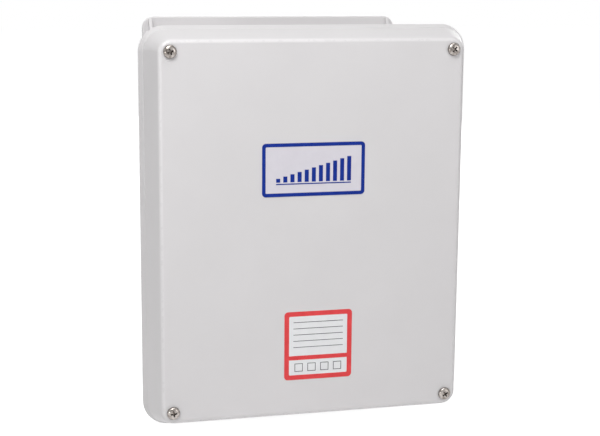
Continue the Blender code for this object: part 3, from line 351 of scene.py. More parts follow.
# Signs of two sides and of four corners
SIDES = (-1, 1)
CORNERS = [(side, rise) for side in SIDES for rise in SIDES]

# How the nodes that stay are cleaned and eased
WELD_REACH = 0.00005
FLAT_ANGLE = radians(2)
EASED_EDGE = 0.0003
EASED_ANGLE = radians(50)

# Turned pieces are made along their own +Z, and these turn it where it belongs
TO_FRONT = Matrix.Rotation(pi / 2, 4, "X")
TO_FLOOR = Matrix.Rotation(pi, 4, "X")
ALONG_X = Matrix.Rotation(pi / 2, 4, "Y")

looks = {}
slots = {row["node"]: row["material_slot"] for row in frame["record"]["subparts"]}


def outline(width, height, radius, centre=(0, 0)):
    """A rounded rectangle, counter-clockwise in its own plane."""
    points = []
    for quarter, (side, rise) in enumerate(((1, 1), (-1, 1), (-1, -1), (1, -1))):
        middle_x = centre[0] + side * (width / 2 - radius)
        middle_y = centre[1] + rise * (height / 2 - radius)
        for step in range(CORNER_STEPS + 1):
            angle = pi / 2 * (quarter + step / CORNER_STEPS)
            points.append((middle_x + radius * cos(angle), middle_y + radius * sin(angle)))
    return points


def inset(width, height, radius, amount, centre=(0, 0)):
    return outline(width - 2 * amount, height - 2 * amount, radius - amount, centre)


def resized(size, across, rise, corner):
    """A rounded rectangle's size, grown on each side, with a corner of its own."""
    return size[0] + 2 * across, size[1] + 2 * rise, corner


def circle(radius, centre=(0, 0), sides=0):
    """Points round a circle, or round a polygon whose corners lie on it."""
    points = []
    for angle in ROUND:
        reach = radius
        if sides:
            half = pi / sides
            reach = radius * cos(half) / cos(angle % (2 * half) - half)
        points.append((centre[0] + reach * cos(angle), centre[1] + reach * sin(angle)))
    return points


def facing(points, y):
    """Plane points stood upright at depth y."""
    return [Vector((x, y, z)) for x, z in points]


def lying(points, z):
    """Plane points laid level at height z."""
    return [Vector((x, y, z)) for x, y in points]


def sideways(points, x):
    """Plane points of (depth, height), stood at x."""
    return [Vector((x, y, z)) for y, z in points]


def loft_into(mesh, rings, hollow=False):
    """Skins rings of equal count, with end faces, or joined end to start for a tube."""
    loops = [[mesh.verts.new(point) for point in ring] for ring in rings]
    pairs = list(zip(loops, loops[1:]))
    if hollow:
        pairs.append((loops[-1], loops[0]))
    for first, second in pairs:
        for index in range(len(first)):
            after = (index + 1) % len(first)
            mesh.faces.new((first[index], first[after], second[after], second[index]))
    if not hollow:
        mesh.faces.new(loops[0])
        mesh.faces.new(loops[-1])


def loft(rings, hollow=False):
    mesh = bmesh.new()
    loft_into(mesh, rings, hollow)
    return mesh


def turned_rings(profile):
    """Rings about +Z from (radius, height) pairs. A third value gives a polygon's sides."""
    return [lying(circle(radius, sides=sum(sides)), height) for radius, height, *sides in profile]


def turned(profile, hollow=False):
    return loft(turned_rings(profile), hollow)


def chamfered(radius, start, end, edge, *sides):
    """A bar's profile with chamfered ends, round or with this many sides."""
    heights = ((radius - edge, start), (radius, start + edge), (radius, end - edge), (radius - edge, end))
    return [(reach, height, *sides) for reach, height in heights]


def hexagon(radius, start, end):
    return chamfered(radius, start, end, HEX_EDGE, HEX_SIDES)


def bent(start, end):
    """A quarter round in a profile, leaving start along its height."""
    points = []
    for angle in QUARTER:
        radius = end[0] + (start[0] - end[0]) * cos(angle)
        points.append((radius, start[1] + (end[1] - start[1]) * sin(angle)))
    return points


def rolled_edge(size, radius, flat, inward):
    """Rings round an outside edge, from the flat face at this depth to the side wall."""
    rings = []
    for angle in QUARTER:
        edge = inset(*size, radius * (1 - sin(angle)))
        rings.append(facing(edge, flat + inward * radius * (1 - cos(angle))))
    return rings


def thread_rings(radius, depth, pitch, start, end):
    """Rings up a right-hand screw thread, whose ridge fades out at both ends."""
    rows = round((end - start) / pitch * THREAD_ROWS)
    rings = []
    for row in range(rows + 1):
        height = start + (end - start) * row / rows
        fade = min(1, row / THREAD_ROWS, (rows - row) / THREAD_ROWS)
        ring = []
        for angle in ROUND:
            valley = (1 - cos(2 * pi * height / pitch - angle)) / 2
            reach = radius - depth * fade * valley
            ring.append(Vector((reach * cos(angle), reach * sin(angle), height)))
        rings.append(ring)
    return rings


def columns(spots, radius, start, end):
    """Round bars along Y at several (x, z) places."""
    mesh = bmesh.new()
    for spot in spots:
        loft_into(mesh, [facing(circle(radius, spot), start), facing(circle(radius, spot), end)])
    return mesh


def ease(mesh, edges, width, segments=EASE_SEGMENTS):
    bmesh.ops.bevel(mesh, geom=edges, offset=width, segments=segments, profile=0.5, affect="EDGES")


def boxes(extents, edge=0.0):
    """Boxes from low corner to high corner, with any edge given rounded."""
    mesh = bmesh.new()
    for low, high in extents:
        corner = ((low[0], low[1]), (high[0], low[1]), (high[0], high[1]), (low[0], high[1]))
        loft_into(mesh, [lying(corner, low[2]), lying(corner, high[2])])
    if edge:
        ease(mesh, mesh.edges[:], edge)
    return mesh


def centred(centre, size):
    """A rectangle's low and high corner."""
    half = (size[0] / 2, size[1] / 2)
    return (centre[0] - half[0], centre[1] - half[1]), (centre[0] + half[0], centre[1] + half[1])


def slab(corners, start, end):
    """A box's low and high corner, from those of a rectangle in (x, z) and two depths."""
    (x0, z0), (x1, z1) = corners
    return (x0, start, z0), (x1, end, z1)


def placed(mesh, location, turn):
    """Takes a mesh from its own axes to its place."""
    bmesh.ops.transform(mesh, matrix=Matrix.Translation(location) @ turn, verts=mesh.verts)
    return mesh


def span(node):
    """Low corner, high corner and middle of a node."""
    low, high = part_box(node)
    return low, high, (low + high) / 2


def middle(node):
    return span(node)[2]


def round_size(node):
    """Radius and length of a node that is round about Y."""
    low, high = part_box(node)
    return (high.x - low.x) / 2, high.y - low.y


def seat_of(node, depth):
    """The middle of a node, moved to this depth."""
    spot = middle(node)
    return Vector((spot.x, depth, spot.z))


def stood(profile, node, hollow=False):
    """A turned form that stands forward from the back of a node."""
    return placed(turned(profile, hollow), seat_of(node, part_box(node)[1].y), TO_FRONT)


def family(name):
    """The nodes that have this name and a number, in order."""
    return sorted(node for node in frame["nodes"] if node.rpartition("_")[0] == name)


def spaced(centre, pitch, count):
    """Places along a line, evenly spaced about its centre."""
    return [centre + (number - (count - 1) / 2) * pitch for number in range(count)]


def spots_of(name):
    """(x, z) of each node in a family."""
    return [(centre.x, centre.z) for centre in map(middle, family(name))]


def linked(name, data):
    made = bpy.data.objects.new(name, data)
    bpy.context.scene.collection.objects.link(made)
    return made


def plain_object(name, mesh):
    """An object made from a bmesh, with its normals out."""
    data = bpy.data.meshes.new(name)
    bmesh.ops.recalc_face_normals(mesh, faces=mesh.faces)
    mesh.to_mesh(data)
    mesh.free()
    return linked(name, data)


def modify(made, name, kind, **settings):
    modifier = made.modifiers.new(name, kind)
    for setting, value in settings.items():
        setattr(modifier, setting, value)


def combine(target, operation, *meshes):
    """Joins shapes to an object or cuts them away, and keeps only the result."""
    for mesh in meshes:
        helper = plain_object("helper", mesh)
        modify(target, "combine", "BOOLEAN", operation=operation, solver="EXACT", object=helper)
        graph = bpy.context.evaluated_depsgraph_get()
        result = bpy.data.meshes.new_from_object(target.evaluated_get(graph))
        target.modifiers.clear()
        target.data = result
        bpy.data.objects.remove(helper)


def body_under(node):
    """The body that carries a node."""
    carrier = frame["nodes"][node].parent
    return next(name for name, empty in frame["bodies"].items() if empty == carrier)


def settle(made, look, node=None, body=None):
    """Shades a piece, gives it its look and sets it on a body, in place of any node given."""
    made.data.shade_smooth()
    made.data.set_sharp_from_angle(angle=SMOOTH_ANGLE)
    made.data.materials.clear()
    made.data.materials.append(looks[look])
    modify(made, "weighted_normals", "WEIGHTED_NORMAL", keep_sharp=True)
    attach(made, body or body_under(node))
    if node:
        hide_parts(node)


def piece(name, mesh, look, node=None, body=None):
    settle(plain_object(name, mesh), look, node, body)


def feed(tree, socket, value):
    """Links a socket to another node's output, or sets it to a value."""
    if isinstance(value, bpy.types.NodeSocket):
        tree.links.new(value, socket)
    else:
        socket.default_value = (*value, 1) if socket.type == "RGBA" else value


def outputs_of(tree, kind, inputs, **settings):
    """The outputs of a new node, its inputs given by name or by place."""
    node = tree.nodes.new(f"ShaderNode{kind}")
    for setting, value in settings.items():
        setattr(node, setting, value)
    for socket, value in inputs.items():
        feed(tree, node.inputs[socket], value)
    return node.outputs


def maths(tree, operation, *values):
    """One operation on numbers or other nodes' outputs."""
    return outputs_of(tree, "Math", dict(enumerate(values)), operation=operation)[0]


def remapped(tree, value, source, target):
    """A value taken from one range to another, and held at its ends."""
    return outputs_of(tree, "MapRange", dict(enumerate((value, *source, *target))))[0]


class Finish:
    """A procedural material among the looks: a few node helpers round one Principled shader."""

    def __init__(self, name):
        looks[name] = bpy.data.materials.new(name)
        looks[name].use_nodes = True
        self.tree = looks[name].node_tree

    def set(self, socket, value):
        feed(self.tree, self.tree.nodes["Principled BSDF"].inputs[socket], value)

    def place(self):
        return outputs_of(self.tree, "TexCoord", {})["Object"]

    def noise(self, size, detail=2, stretch=(1, 1, 1)):
        """Noise with features of about this many metres, drawn out along an axis by stretch."""
        scale = [1 / (size * amount) for amount in stretch]
        point = outputs_of(self.tree, "Mapping", {"Vector": self.place(), "Scale": scale})["Vector"]
        return outputs_of(self.tree, "TexNoise", {"Vector": point, "Scale": 1, "Detail": detail})["Fac"]

    def spread(self, value, low, high):
        """A noise value, its middle drawn out, over a new range."""
        return remapped(self.tree, value, NOISE_MIDDLE, (low, high))

    def depth_band(self, face, rise, fall):
        """1 in a band of depths behind a face, easing in over one range and out over another."""
        depth = outputs_of(self.tree, "SeparateXYZ", {"Vector": self.place()})["Y"]
        ends = []
        for (start, end), target in ((rise, (0, 1)), (fall, (1, 0))):
            ends.append(remapped(self.tree, depth, (face + start, face + end), target))
        return maths(self.tree, "MULTIPLY", *ends)

    def mixed(self, factor, first, second):
        """A colour between two, each a colour or another node's output."""
        inputs = dict(zip(MIX_INPUTS, (factor, first, second)))
        return outputs_of(self.tree, "Mix", inputs, data_type="RGBA")[MIX_RESULT]

    def mottle(self, value, first, second):
        return self.mixed(self.spread(value, 0, 1), first, second)

    def bump(self, value, depth):
        """Relief of this depth in metres."""
        self.set("Normal", outputs_of(self.tree, "Bump", {"Distance": depth, "Height": value})["Normal"])

    def shelter(self, reach):
        """1 in the open, less in corners and recesses within this reach."""
        return outputs_of(self.tree, "AmbientOcclusion", {"Distance": reach})["AO"]


def moulded_grey():
    """Satin moulded polymer: faint flow mottle, pebbled skin, and a painted highlight round the face's edge, a
    lighter band that is also smoother.
    """
    made = Finish("moulded_grey")
    edge_highlight = made.depth_band(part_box("front_cover")[0].y, HIGHLIGHT_RISE, HIGHLIGHT_FALL)
    # Painted highlight: the band round the face's edge takes a lighter grey
    made.set("Base Color", made.mixed(edge_highlight, made.mottle(made.noise(FLOW_SIZE, 4), *GREY), HIGHLIGHT_GREY))
    satin = made.spread(made.noise(SATIN_SIZE, 3), *GREY_ROUGH)
    made.set("Roughness", maths(made.tree, "MULTIPLY_ADD", edge_highlight, HIGHLIGHT_SMOOTHER, satin))
    made.bump(made.noise(PEBBLE_SIZE), PEBBLE_RELIEF)
    made.set("Specular IOR Level", GREY_SHEEN)


def stainless_steel():
    """Stainless with fine scratches, its colour kept dark as a painted reflection, and painted shade, dark
    brown, in the recess and corners.
    """
    made = Finish("stainless_steel")
    made.set("Metallic", 1.0)
    # Painted reflection: the metal's colour is kept dark
    metal = made.mottle(made.noise(STAIN_SIZE, 3), *DARKENED_STEEL)
    # Painted shade: darker where the occlusion mask finds recesses and corners
    made.set("Base Color", made.mixed(made.shelter(RECESS_SHADE_REACH), RECESS_SHADE, metal))
    made.set("Roughness", made.spread(made.noise(SMEAR_SIZE, 3), *STEEL_ROUGH))
    made.bump(made.noise(SCRATCH_SIZE, stretch=SCRATCH_STRETCH), SCRATCH_RELIEF)


def plain_finish(name, first, second, roughness, metallic=0.0, size=PLAIN_SIZE):
    """A finish with a soft two-colour mottle, uneven gloss and a fine grain."""
    made = Finish(name)
    made.set("Metallic", metallic)
    made.set("Base Color", made.mottle(made.noise(size, 3), first, second))
    uneven = (roughness * (1 - PLAIN_UNEVEN), roughness * (1 + PLAIN_UNEVEN))
    made.set("Roughness", made.spread(made.noise(size / 3), *uneven))
    made.bump(made.noise(PLAIN_GRAIN), PLAIN_RELIEF)
    if name in INKS:
        made.set("Specular IOR Level", INK_GLOSS)
    if name == "fuse_glass":
        made.set("Transmission Weight", 1)


def make_looks():
    """Two finishes of their own kind, then plain ones: two colours, roughness, metal and mottle size."""
    moulded_grey()
    stainless_steel()
    for line in (
        ("brass", (0.66, 0.48, 0.2), (0.76, 0.58, 0.27), 0.32, 1.0),
        ("black_rubber", (0.022, 0.022, 0.022), (0.04, 0.04, 0.04), 0.8),
        ("white_nylon", (0.78, 0.77, 0.72), (0.84, 0.83, 0.79), 0.5),
        ("zinc_plated_steel", (0.5, 0.51, 0.53), (0.64, 0.65, 0.66), 0.36, 1.0, 0.012),
        ("laminated_steel", (0.16, 0.16, 0.17), (0.25, 0.25, 0.27), 0.45, 0.8),
        ("winding_tape", (0.66, 0.5, 0.12), (0.76, 0.6, 0.2), 0.42),
        ("can_aluminium", (0.6, 0.61, 0.63), (0.7, 0.71, 0.72), 0.3, 1.0),
        ("board_laminate", (0.04, 0.19, 0.08), (0.07, 0.27, 0.12), 0.38),
        ("board_track", (0.07, 0.3, 0.12), (0.1, 0.36, 0.15), 0.32),
        ("terminal_green", (0.06, 0.29, 0.14), (0.1, 0.37, 0.19), 0.4),
        ("black_plastic", (0.028, 0.028, 0.03), (0.045, 0.045, 0.047), 0.45),
        ("ceramic", (0.74, 0.72, 0.66), (0.82, 0.8, 0.74), 0.75),
        ("fuse_glass", (0.9, 0.92, 0.92), (0.95, 0.96, 0.96), 0.08),
        ("red_insulation", (0.5, 0.04, 0.03), (0.6, 0.07, 0.05), 0.4),
        ("white_insulation", (0.76, 0.75, 0.72), (0.84, 0.83, 0.8), 0.4),
        ("label_film", (0.645, 0.622, 0.675), (0.665, 0.642, 0.695), 0.35),
        ("label_white", (0.75, 0.755, 0.77), (0.78, 0.785, 0.8), 0.35),
        ("label_grey", (0.06, 0.06, 0.065), (0.09, 0.09, 0.095), 0.4),
        ("label_blue", (0.006, 0.026, 0.24), (0.01, 0.034, 0.28), 0.35),
        ("label_red", (0.7, 0.06, 0.065), (0.78, 0.075, 0.08), 0.35),
    ):
        plain_finish(*line)


def face_edge(face, front, back):
    """Rings round the face's edge, from the flat to where the sloping wall carries on."""
    slope = (COVER_FLARE_X + COVER_FLARE_Z) / 2 / (back - front)
    turn = pi / 2 - atan(slope)
    rings = []
    for step in range(EDGE_STEPS + 1):
        angle = turn * step / EDGE_STEPS
        drawn_in = FACE_ROUND * (tan(turn / 2) - sin(angle))
        rings.append(facing(inset(*face, drawn_in), front + FACE_ROUND * (1 - cos(angle))))
    return rings


def front_cover():
    """The raised lid with finely rounded edges, its screw posts and its screw holes."""
    low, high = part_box("front_cover")
    size = (high.x - low.x, high.z - low.z, LID_CORNER)
    face = resized(size, -COVER_FLARE_X, -COVER_FLARE_Z, FACE_CORNER)
    rings = face_edge(face, low.y, high.y) + rolled_edge(size, LIP_ROUND, high.y, -1)[::-1]
    land = inset(*size, LAND_INSET)
    rings += [facing(land, high.y), facing(land, high.y - COVER_LAND)]
    inner = resized(face, -COVER_WALL, -COVER_WALL, FACE_CORNER - COVER_WALL)
    share = 1 - COVER_LAND / (high.y - low.y)
    corner = inner[2] + (LID_CORNER - FACE_CORNER) * share
    wide = resized(inner, COVER_FLARE_X * share, COVER_FLARE_Z * share, corner)
    rings += [facing(outline(*wide), high.y - COVER_LAND), facing(outline(*inner), low.y + COVER_WALL)]
    cover = plain_object("cover_shell", loft(rings))
    screws = spots_of("cover_screw")
    post_end = high.y - POCKET_DEPTH
    combine(cover, "UNION", columns(screws, POST_RADIUS, low.y + COVER_WALL / 2, post_end))
    pockets = columns(screws, POCKET_RADIUS, post_end, high.y + OVERCUT)
    holes = columns(screws, SHANK_RADIUS + CLEARANCE, low.y - OVERCUT, high.y)
    combine(cover, "DIFFERENCE", pockets, holes)
    settle(cover, "moulded_grey", "front_cover")


def rim_front_size():
    """Size of the housing's front edge, a little wider than the cover."""
    low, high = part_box("front_cover")
    return resized((high.x - low.x, high.z - low.z), RIM_STEP, RIM_STEP, LID_CORNER + RIM_STEP)


def tub_rings(body, back, rim):
    """From the back up the outside, over the grooved rim and down to the floor."""
    rim_back = RIM_DEPTH - HOUSING_DEPTH
    front = rim_front_size()
    rings = rolled_edge(back, BACK_EDGE, 0, -1)
    for angle in QUARTER:
        grown = RIM_FILLET * (1 - cos(angle))
        rings.append(facing(inset(*body, -grown), rim_back + RIM_FILLET * (1 - sin(angle))))
    rings += rolled_edge(rim, RIM_ROUND, rim_back, -1)
    rings += rolled_edge(front, LIP_ROUND, -HOUSING_DEPTH, 1)[::-1]
    for wall, sunk in ((-1, 0), (-1, GROOVE_DEPTH), (1, GROOVE_DEPTH), (1, 0)):
        amount = GASKET_INSET + wall * (GASKET_WIDTH / 2 + SEAT_GAP)
        rings.append(facing(inset(*front, amount), sunk - HOUSING_DEPTH))
    rings.append(facing(inset(*body, HOUSING_WALL), -HOUSING_DEPTH))
    for angle in QUARTER:
        drawn_in = HOUSING_WALL + FLOOR_FILLET * (1 - cos(angle))
        rings.append(facing(inset(*back, drawn_in), -HOUSING_WALL - FLOOR_FILLET * (1 - sin(angle))))
    return rings


def flange_ribs(half_width, back_height):
    """Tapered gussets with eased edges, from the walls to the flange ends."""
    mesh = bmesh.new()
    base = (back_height - HOUSING_WALL) / 2
    tip = back_height / 2 + FLANGE_REACH - BACK_EDGE
    root = -FLANGE_THICKNESS / 2
    half = RIB_THICKNESS / 2
    for side, rise in CORNERS:
        x = side * (half_width - RIB_FROM_SIDE)
        wedge = [
            (root, rise * base),
            (-FLANGE_THICKNESS - RIB_REACH, rise * base),
            (-FLANGE_THICKNESS - RIB_TIP, rise * tip),
            (root, rise * tip),
        ]
        loft_into(mesh, [sideways(wedge, x - half), sideways(wedge, x + half)])
    ease(mesh, mesh.edges[:], RIB_EDGE)
    return mesh


def mounting_slots(back_height):
    """Cutters for the four wall slots, flared at both faces."""
    mesh = bmesh.new()
    flare = SLOT_CHAMFER + OVERCUT
    for side, rise in CORNERS:
        centre = (side * SLOT_SPACING / 2, rise * (back_height / 2 + SLOT_RISE))
        rings = []
        for depth, grown in (
            (-OVERCUT, flare),
            (SLOT_CHAMFER, 0),
            (FLANGE_THICKNESS - SLOT_CHAMFER, 0),
            (FLANGE_THICKNESS + OVERCUT, flare),
        ):
            width = SLOT_WIDTH + 2 * grown
            rings.append(facing(outline(SLOT_LENGTH + 2 * grown, width, width / 2, centre), -depth))
        loft_into(mesh, rings)
    return mesh


def gland_bars(mesh, radius, top, bottom):
    """Upright round bars at the two gland places, added to a mesh."""
    for gland in GLANDS:
        centre = middle(f"{gland}_body")
        ring = circle(radius, (centre.x, centre.y))
        loft_into(mesh, [lying(ring, bottom), lying(ring, top)])
    return mesh


def rear_housing():
    """The tub with its rim, mounting plate, ribs, bosses and holes."""
    front = rim_front_size()
    rim = resized(front, RIM_FLARE_X, RIM_FLARE_Z, front[2] + (RIM_FLARE_X + RIM_FLARE_Z) / 2)
    body = resized(rim, -RIM_OVERHANG, -RIM_OVERHANG, BODY_CORNER)
    back = resized(body, -BODY_DRAFT, -BODY_DRAFT, BODY_CORNER - BODY_DRAFT)
    housing = plain_object("housing_shell", loft(tub_rings(body, back, rim)))
    plate = resized(back, FLANGE_SIDE, FLANGE_REACH, FLANGE_CORNER)
    sheet = rolled_edge(plate, BACK_EDGE, 0, -1) + rolled_edge(plate, BACK_EDGE, -FLANGE_THICKNESS, 1)[::-1]
    inserts = spots_of("threaded_insert")
    chassis = spots_of("chassis_screw")
    boss_start = (GROOVE_DEPTH + RIM_DEPTH) / 2 - HOUSING_DEPTH
    boss_top = -HOUSING_WALL - CHASSIS_BOSS_HEIGHT
    pad_top = GLAND_PAD_PROUD + HOUSING_WALL - back[1] / 2
    pad_face = -body[1] / 2 - GLAND_PAD_PROUD
    combine(
        housing,
        "UNION",
        loft(sheet),
        flange_ribs(plate[0] / 2, back[1]),
        columns(inserts, INSERT_BOSS, boss_start, INSERT_BOSS_DEPTH - HOUSING_DEPTH),
        columns(chassis, CHASSIS_BOSS_RADIUS, -HOUSING_WALL / 2, boss_top),
        gland_bars(bmesh.new(), GLAND_PAD_RADIUS, pad_top, pad_face),
    )
    slots_and_glands = mounting_slots(back[1])
    combine(
        housing,
        "DIFFERENCE",
        gland_bars(slots_and_glands, GLAND_THREAD + CLEARANCE, pad_top + OVERCUT, pad_face - OVERCUT),
        columns(inserts, INSERT_HOLE, -HOUSING_DEPTH - OVERCUT, INSERT_HOLE_DEPTH - HOUSING_DEPTH),
        columns(chassis, FIXING_RADIUS + CLEARANCE, boss_top - OVERCUT, boss_top + CHASSIS_BITE),
    )
    settle(housing, "moulded_grey", "rear_housing")


def cover_gasket():
    """A cord of soft rubber with a rounded section, lying in the rim's groove."""
    low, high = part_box("cover_gasket")
    front = rim_front_size()
    rings = []
    for step in range(SECTION_STEPS):
        angle = 2 * pi * (step + 0.5) / SECTION_STEPS
        across, deep = (copysign(abs(way) ** 0.5, way) for way in (cos(angle), sin(angle)))
        edge = inset(*front, GASKET_INSET + GASKET_WIDTH / 2 * across)
        rings.append(facing(edge, (low.y + high.y) / 2 + (high.y - low.y) / 2 * deep))
    piece("gasket_cord", loft(rings, True), "black_rubber", "cover_gasket")


def recess_cutter(top):
    """A tapering cross-shaped driver recess, sunk from the top of a head."""
    rings = []
    for height, reach, width in (
        (top - RECESS_DEPTH, RECESS_FLOOR, RECESS_FLOOR_WIDTH),
        (top + OVERCUT, RECESS_REACH, RECESS_WIDTH),
    ):
        half = width / 2
        cross = []
        for turn in range(RECESS_ARMS):
            angle = 2 * pi * turn / RECESS_ARMS
            across, along = cos(angle), sin(angle)
            for x, y in ((reach, -half), (reach, half), (half + RECESS_WEB, half), (half, half + RECESS_WEB)):
                cross.append((x * across - y * along, x * along + y * across))
        rings.append(lying(cross, height))
    return loft(rings)


def cover_screws():
    """Pan-head machine screws with thread and driver recess, each turned its own way."""
    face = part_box("front_cover")[0].y
    low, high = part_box("cover_screw_1")
    length = high.y - face
    top = face - low.y
    head = (high.x - low.x) / 2
    rings = thread_rings(SHANK_RADIUS, THREAD_DEPTH, THREAD_PITCH, -length, THREAD_LENGTH - length)
    profile = [(SHANK_RADIUS, SEAT_GAP), (head - HEAD_EDGE, SEAT_GAP), (head, SEAT_GAP + HEAD_EDGE)]
    profile += bent((head, SEAT_GAP + HEAD_SIDE), (HEAD_CROWN, top - HEAD_CROWN_DROP))
    rings += turned_rings([*profile, (HEAD_EDGE, top)])
    master = plain_object("screw_master", loft(rings))
    combine(master, "DIFFERENCE", recess_cutter(top))
    for number, (node, turn) in enumerate(zip(family("cover_screw"), SCREW_TURNS), 1):
        data = master.data.copy()
        seat = Matrix.Translation(seat_of(node, face))
        data.transform(seat @ TO_FRONT @ Matrix.Rotation(radians(turn), 4, "Z"))
        settle(linked(f"pan_screw_{number}", data), "stainless_steel", node)
    bpy.data.objects.remove(master)


def screw_rings():
    """Nylon rings that keep the screws in the cover, and grooved brass inserts."""
    pairs = zip(family("screw_retainer"), family("threaded_insert"))
    for number, (retainer, insert) in enumerate(pairs, 1):
        radius, length = round_size(retainer)
        bore = SHANK_RADIUS + SEAT_GAP
        profile = chamfered(radius, 0, length, RING_EDGE) + [(bore, length), (bore, 0)]
        piece(f"retaining_ring_{number}", stood(profile, retainer, True), "white_nylon", retainer)
        radius, length = round_size(insert)
        third = length / 3
        waist = radius - INSERT_GROOVE
        bore = SHANK_RADIUS + CLEARANCE
        profile = chamfered(radius, 0, length, RING_EDGE)
        profile += [(bore + RING_EDGE, length), (bore, length - RING_EDGE), (bore, 0)]
        groove = [(waist, third + INSERT_GROOVE), (waist, 2 * third - INSERT_GROOVE)]
        profile[2:2] = [(radius, third), *groove, (radius, 2 * third)]
        piece(f"brass_insert_{number}", stood(profile, insert, True), "brass", insert)


def fixing_screws():
    """Small hexagon-headed screws with threaded ends."""
    for node in family("chassis_screw") + family("core_bolt") + family("strap_screw"):
        radius, length = round_size(node)
        shank = length - FIXING_HEAD_HEIGHT
        end = FIXING_THREAD_LENGTH - shank
        rings = thread_rings(FIXING_RADIUS, FIXING_RIDGE, FIXING_PITCH, -shank, end)
        rings += turned_rings([(FIXING_RADIUS, 0), *hexagon(radius, 0, FIXING_HEAD_HEIGHT)])
        seat = seat_of(node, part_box(node)[0].y + FIXING_HEAD_HEIGHT)
        piece(f"hex_{node}", placed(loft(rings), seat, TO_FRONT), "zinc_plated_steel", node)


def cable_glands():
    """Threaded bodies with a hexagon, lock nuts, seals, and dome nuts with rounded crowns."""
    shoulder = SEAT_GAP + GLAND_FLANGE_HEIGHT
    neck_end = shoulder + GLAND_NECK_LENGTH
    start = shoulder + SEAT_GAP
    ceiling = neck_end + SEAT_GAP
    tip = ceiling + DOME_TAPER + DOME_END
    socket = GLAND_SEAL + SEAT_GAP
    nut_bore = GLAND_THREAD + CLEARANCE
    seal = [(GLAND_SEAL, start), (GLAND_SEAL, neck_end - RING_EDGE), (GLAND_SEAL - RING_EDGE, neck_end)]
    seal += [(GLAND_SEAL_BORE + RING_EDGE, neck_end), (GLAND_SEAL_BORE, neck_end - RING_EDGE)]
    seal.append((GLAND_SEAL_BORE, start))
    dome_bore = GLAND_NECK + CLEARANCE
    corner = (dome_bore + DOME_WALL) / cos(pi / HEX_SIDES)
    crown = (corner - HEX_EDGE) * cos(pi / HEX_SIDES)
    lip = GLAND_BORE + DOME_WALL / 2
    dome = hexagon(corner, start, start + DOME_HEX) + bent((crown, start + DOME_HEX), (lip, tip))
    dome += [(GLAND_BORE, tip - DOME_WALL / 2), (GLAND_BORE, ceiling + DOME_TAPER)]
    dome += [(dome_bore, ceiling), (dome_bore, start)]
    for gland in GLANDS:
        low, high, place = span(f"{gland}_body")
        place.z = low.z + neck_end
        thread_end = place.z - high.z
        rings = thread_rings(GLAND_THREAD, GLAND_RIDGE, GLAND_PITCH, thread_end, SEAT_GAP)
        rings += turned_rings(hexagon(GLAND_FLANGE, SEAT_GAP, shoulder))
        rings += thread_rings(GLAND_NECK, GLAND_RIDGE, GLAND_PITCH, shoulder, neck_end)
        inside = [(socket, neck_end), (socket, shoulder), (GLAND_BORE, shoulder), (GLAND_BORE, thread_end)]
        rings += turned_rings(inside)
        nut_start = thread_end + GLAND_THREAD_END
        nut_end = nut_start + GLAND_NUT_HEIGHT
        nut = hexagon(GLAND_FLANGE, nut_start, nut_end) + [(nut_bore, nut_end), (nut_bore, nut_start)]
        for name, mesh, look in (
            ("body", loft(rings, True), "black_plastic"),
            ("lock_nut", turned(nut, True), "black_plastic"),
            ("seal", turned(seal, True), "black_rubber"),
            ("dome_nut", turned(dome, True), "black_plastic"),
        ):
            node = f"{gland}_{name}"
            piece(f"fine_{node}", placed(mesh, place, TO_FLOOR), look, node)


def core_stack():
    """The transformer's core: a stack of thin sheets, each a hair out of line with the next."""
    low, high, centre = span("transformer_core")
    pitch = (high.y - low.y) / SHEETS
    sheet = plain_object("sheet", boxes([(tuple(low), (high.x, low.y + pitch - SHEET_GAP, high.z))]))
    windows = []
    for side in SIDES:
        spot = (centre.x + side * (CORE_LIMB + CORE_WINDOW[0]) / 2, centre.z)
        windows.append(slab(centred(spot, CORE_WINDOW), low.y - OVERCUT, high.y))
    holes = columns(spots_of("core_bolt"), FIXING_RADIUS + CLEARANCE, low.y - OVERCUT, high.y)
    combine(sheet, "DIFFERENCE", boxes(windows), holes)
    shrink = 1 - 2 * SHEET_STAGGER / (high.x - low.x)
    stack = bmesh.new()
    for number in range(SHEETS):
        copy = sheet.data.copy()
        shift = SIDES[number % 2] * SHEET_STAGGER
        narrowed = Matrix.Diagonal((shrink, 1, shrink, 1)) @ Matrix.Translation((-centre.x, 0, -centre.z))
        copy.transform(Matrix.Translation((centre.x + shift, number * pitch, centre.z)) @ narrowed)
        stack.from_mesh(copy)
        bpy.data.meshes.remove(copy)
    bpy.data.objects.remove(sheet)
    piece("core_stack", stack, "laminated_steel", "transformer_core")


def winding():
    """Two bobbin flanges and overlapping turns of tape between them."""
    low, high, centre = span("transformer_winding")
    core_low, core_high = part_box("transformer_core")
    spot = (centre.x, centre.y)
    size = (high.x - low.x, high.y - low.y, WINDING_CORNER)
    hole = outline(CORE_LIMB + 2 * SEAT_GAP, core_high.y - core_low.y + 2 * SEAT_GAP, SEAT_GAP, spot)
    edge = outline(*size, spot)
    bobbin = bmesh.new()
    for base in (low.z, high.z - BOBBIN_FLANGE):
        top = base + BOBBIN_FLANGE
        loft_into(bobbin, [lying(edge, base), lying(edge, top), lying(hole, top), lying(hole, base)], True)
    piece("bobbin", bobbin, "black_plastic", "transformer_winding")
    bottom = low.z + BOBBIN_FLANGE
    turn = (high.z - low.z - 2 * BOBBIN_FLANGE) / TAPE_TURNS
    rings = []
    for number in range(TAPE_TURNS):
        for height, sunk in ((number, TAPE_INSET), (number + 1, TAPE_INSET + TAPE_STEP)):
            rings.append(lying(inset(*size, sunk, spot), bottom + height * turn))
    rings += [lying(hole, high.z - BOBBIN_FLANGE), lying(hole, bottom)]
    piece("taped_winding", loft(rings, True), "winding_tape", "transformer_winding")


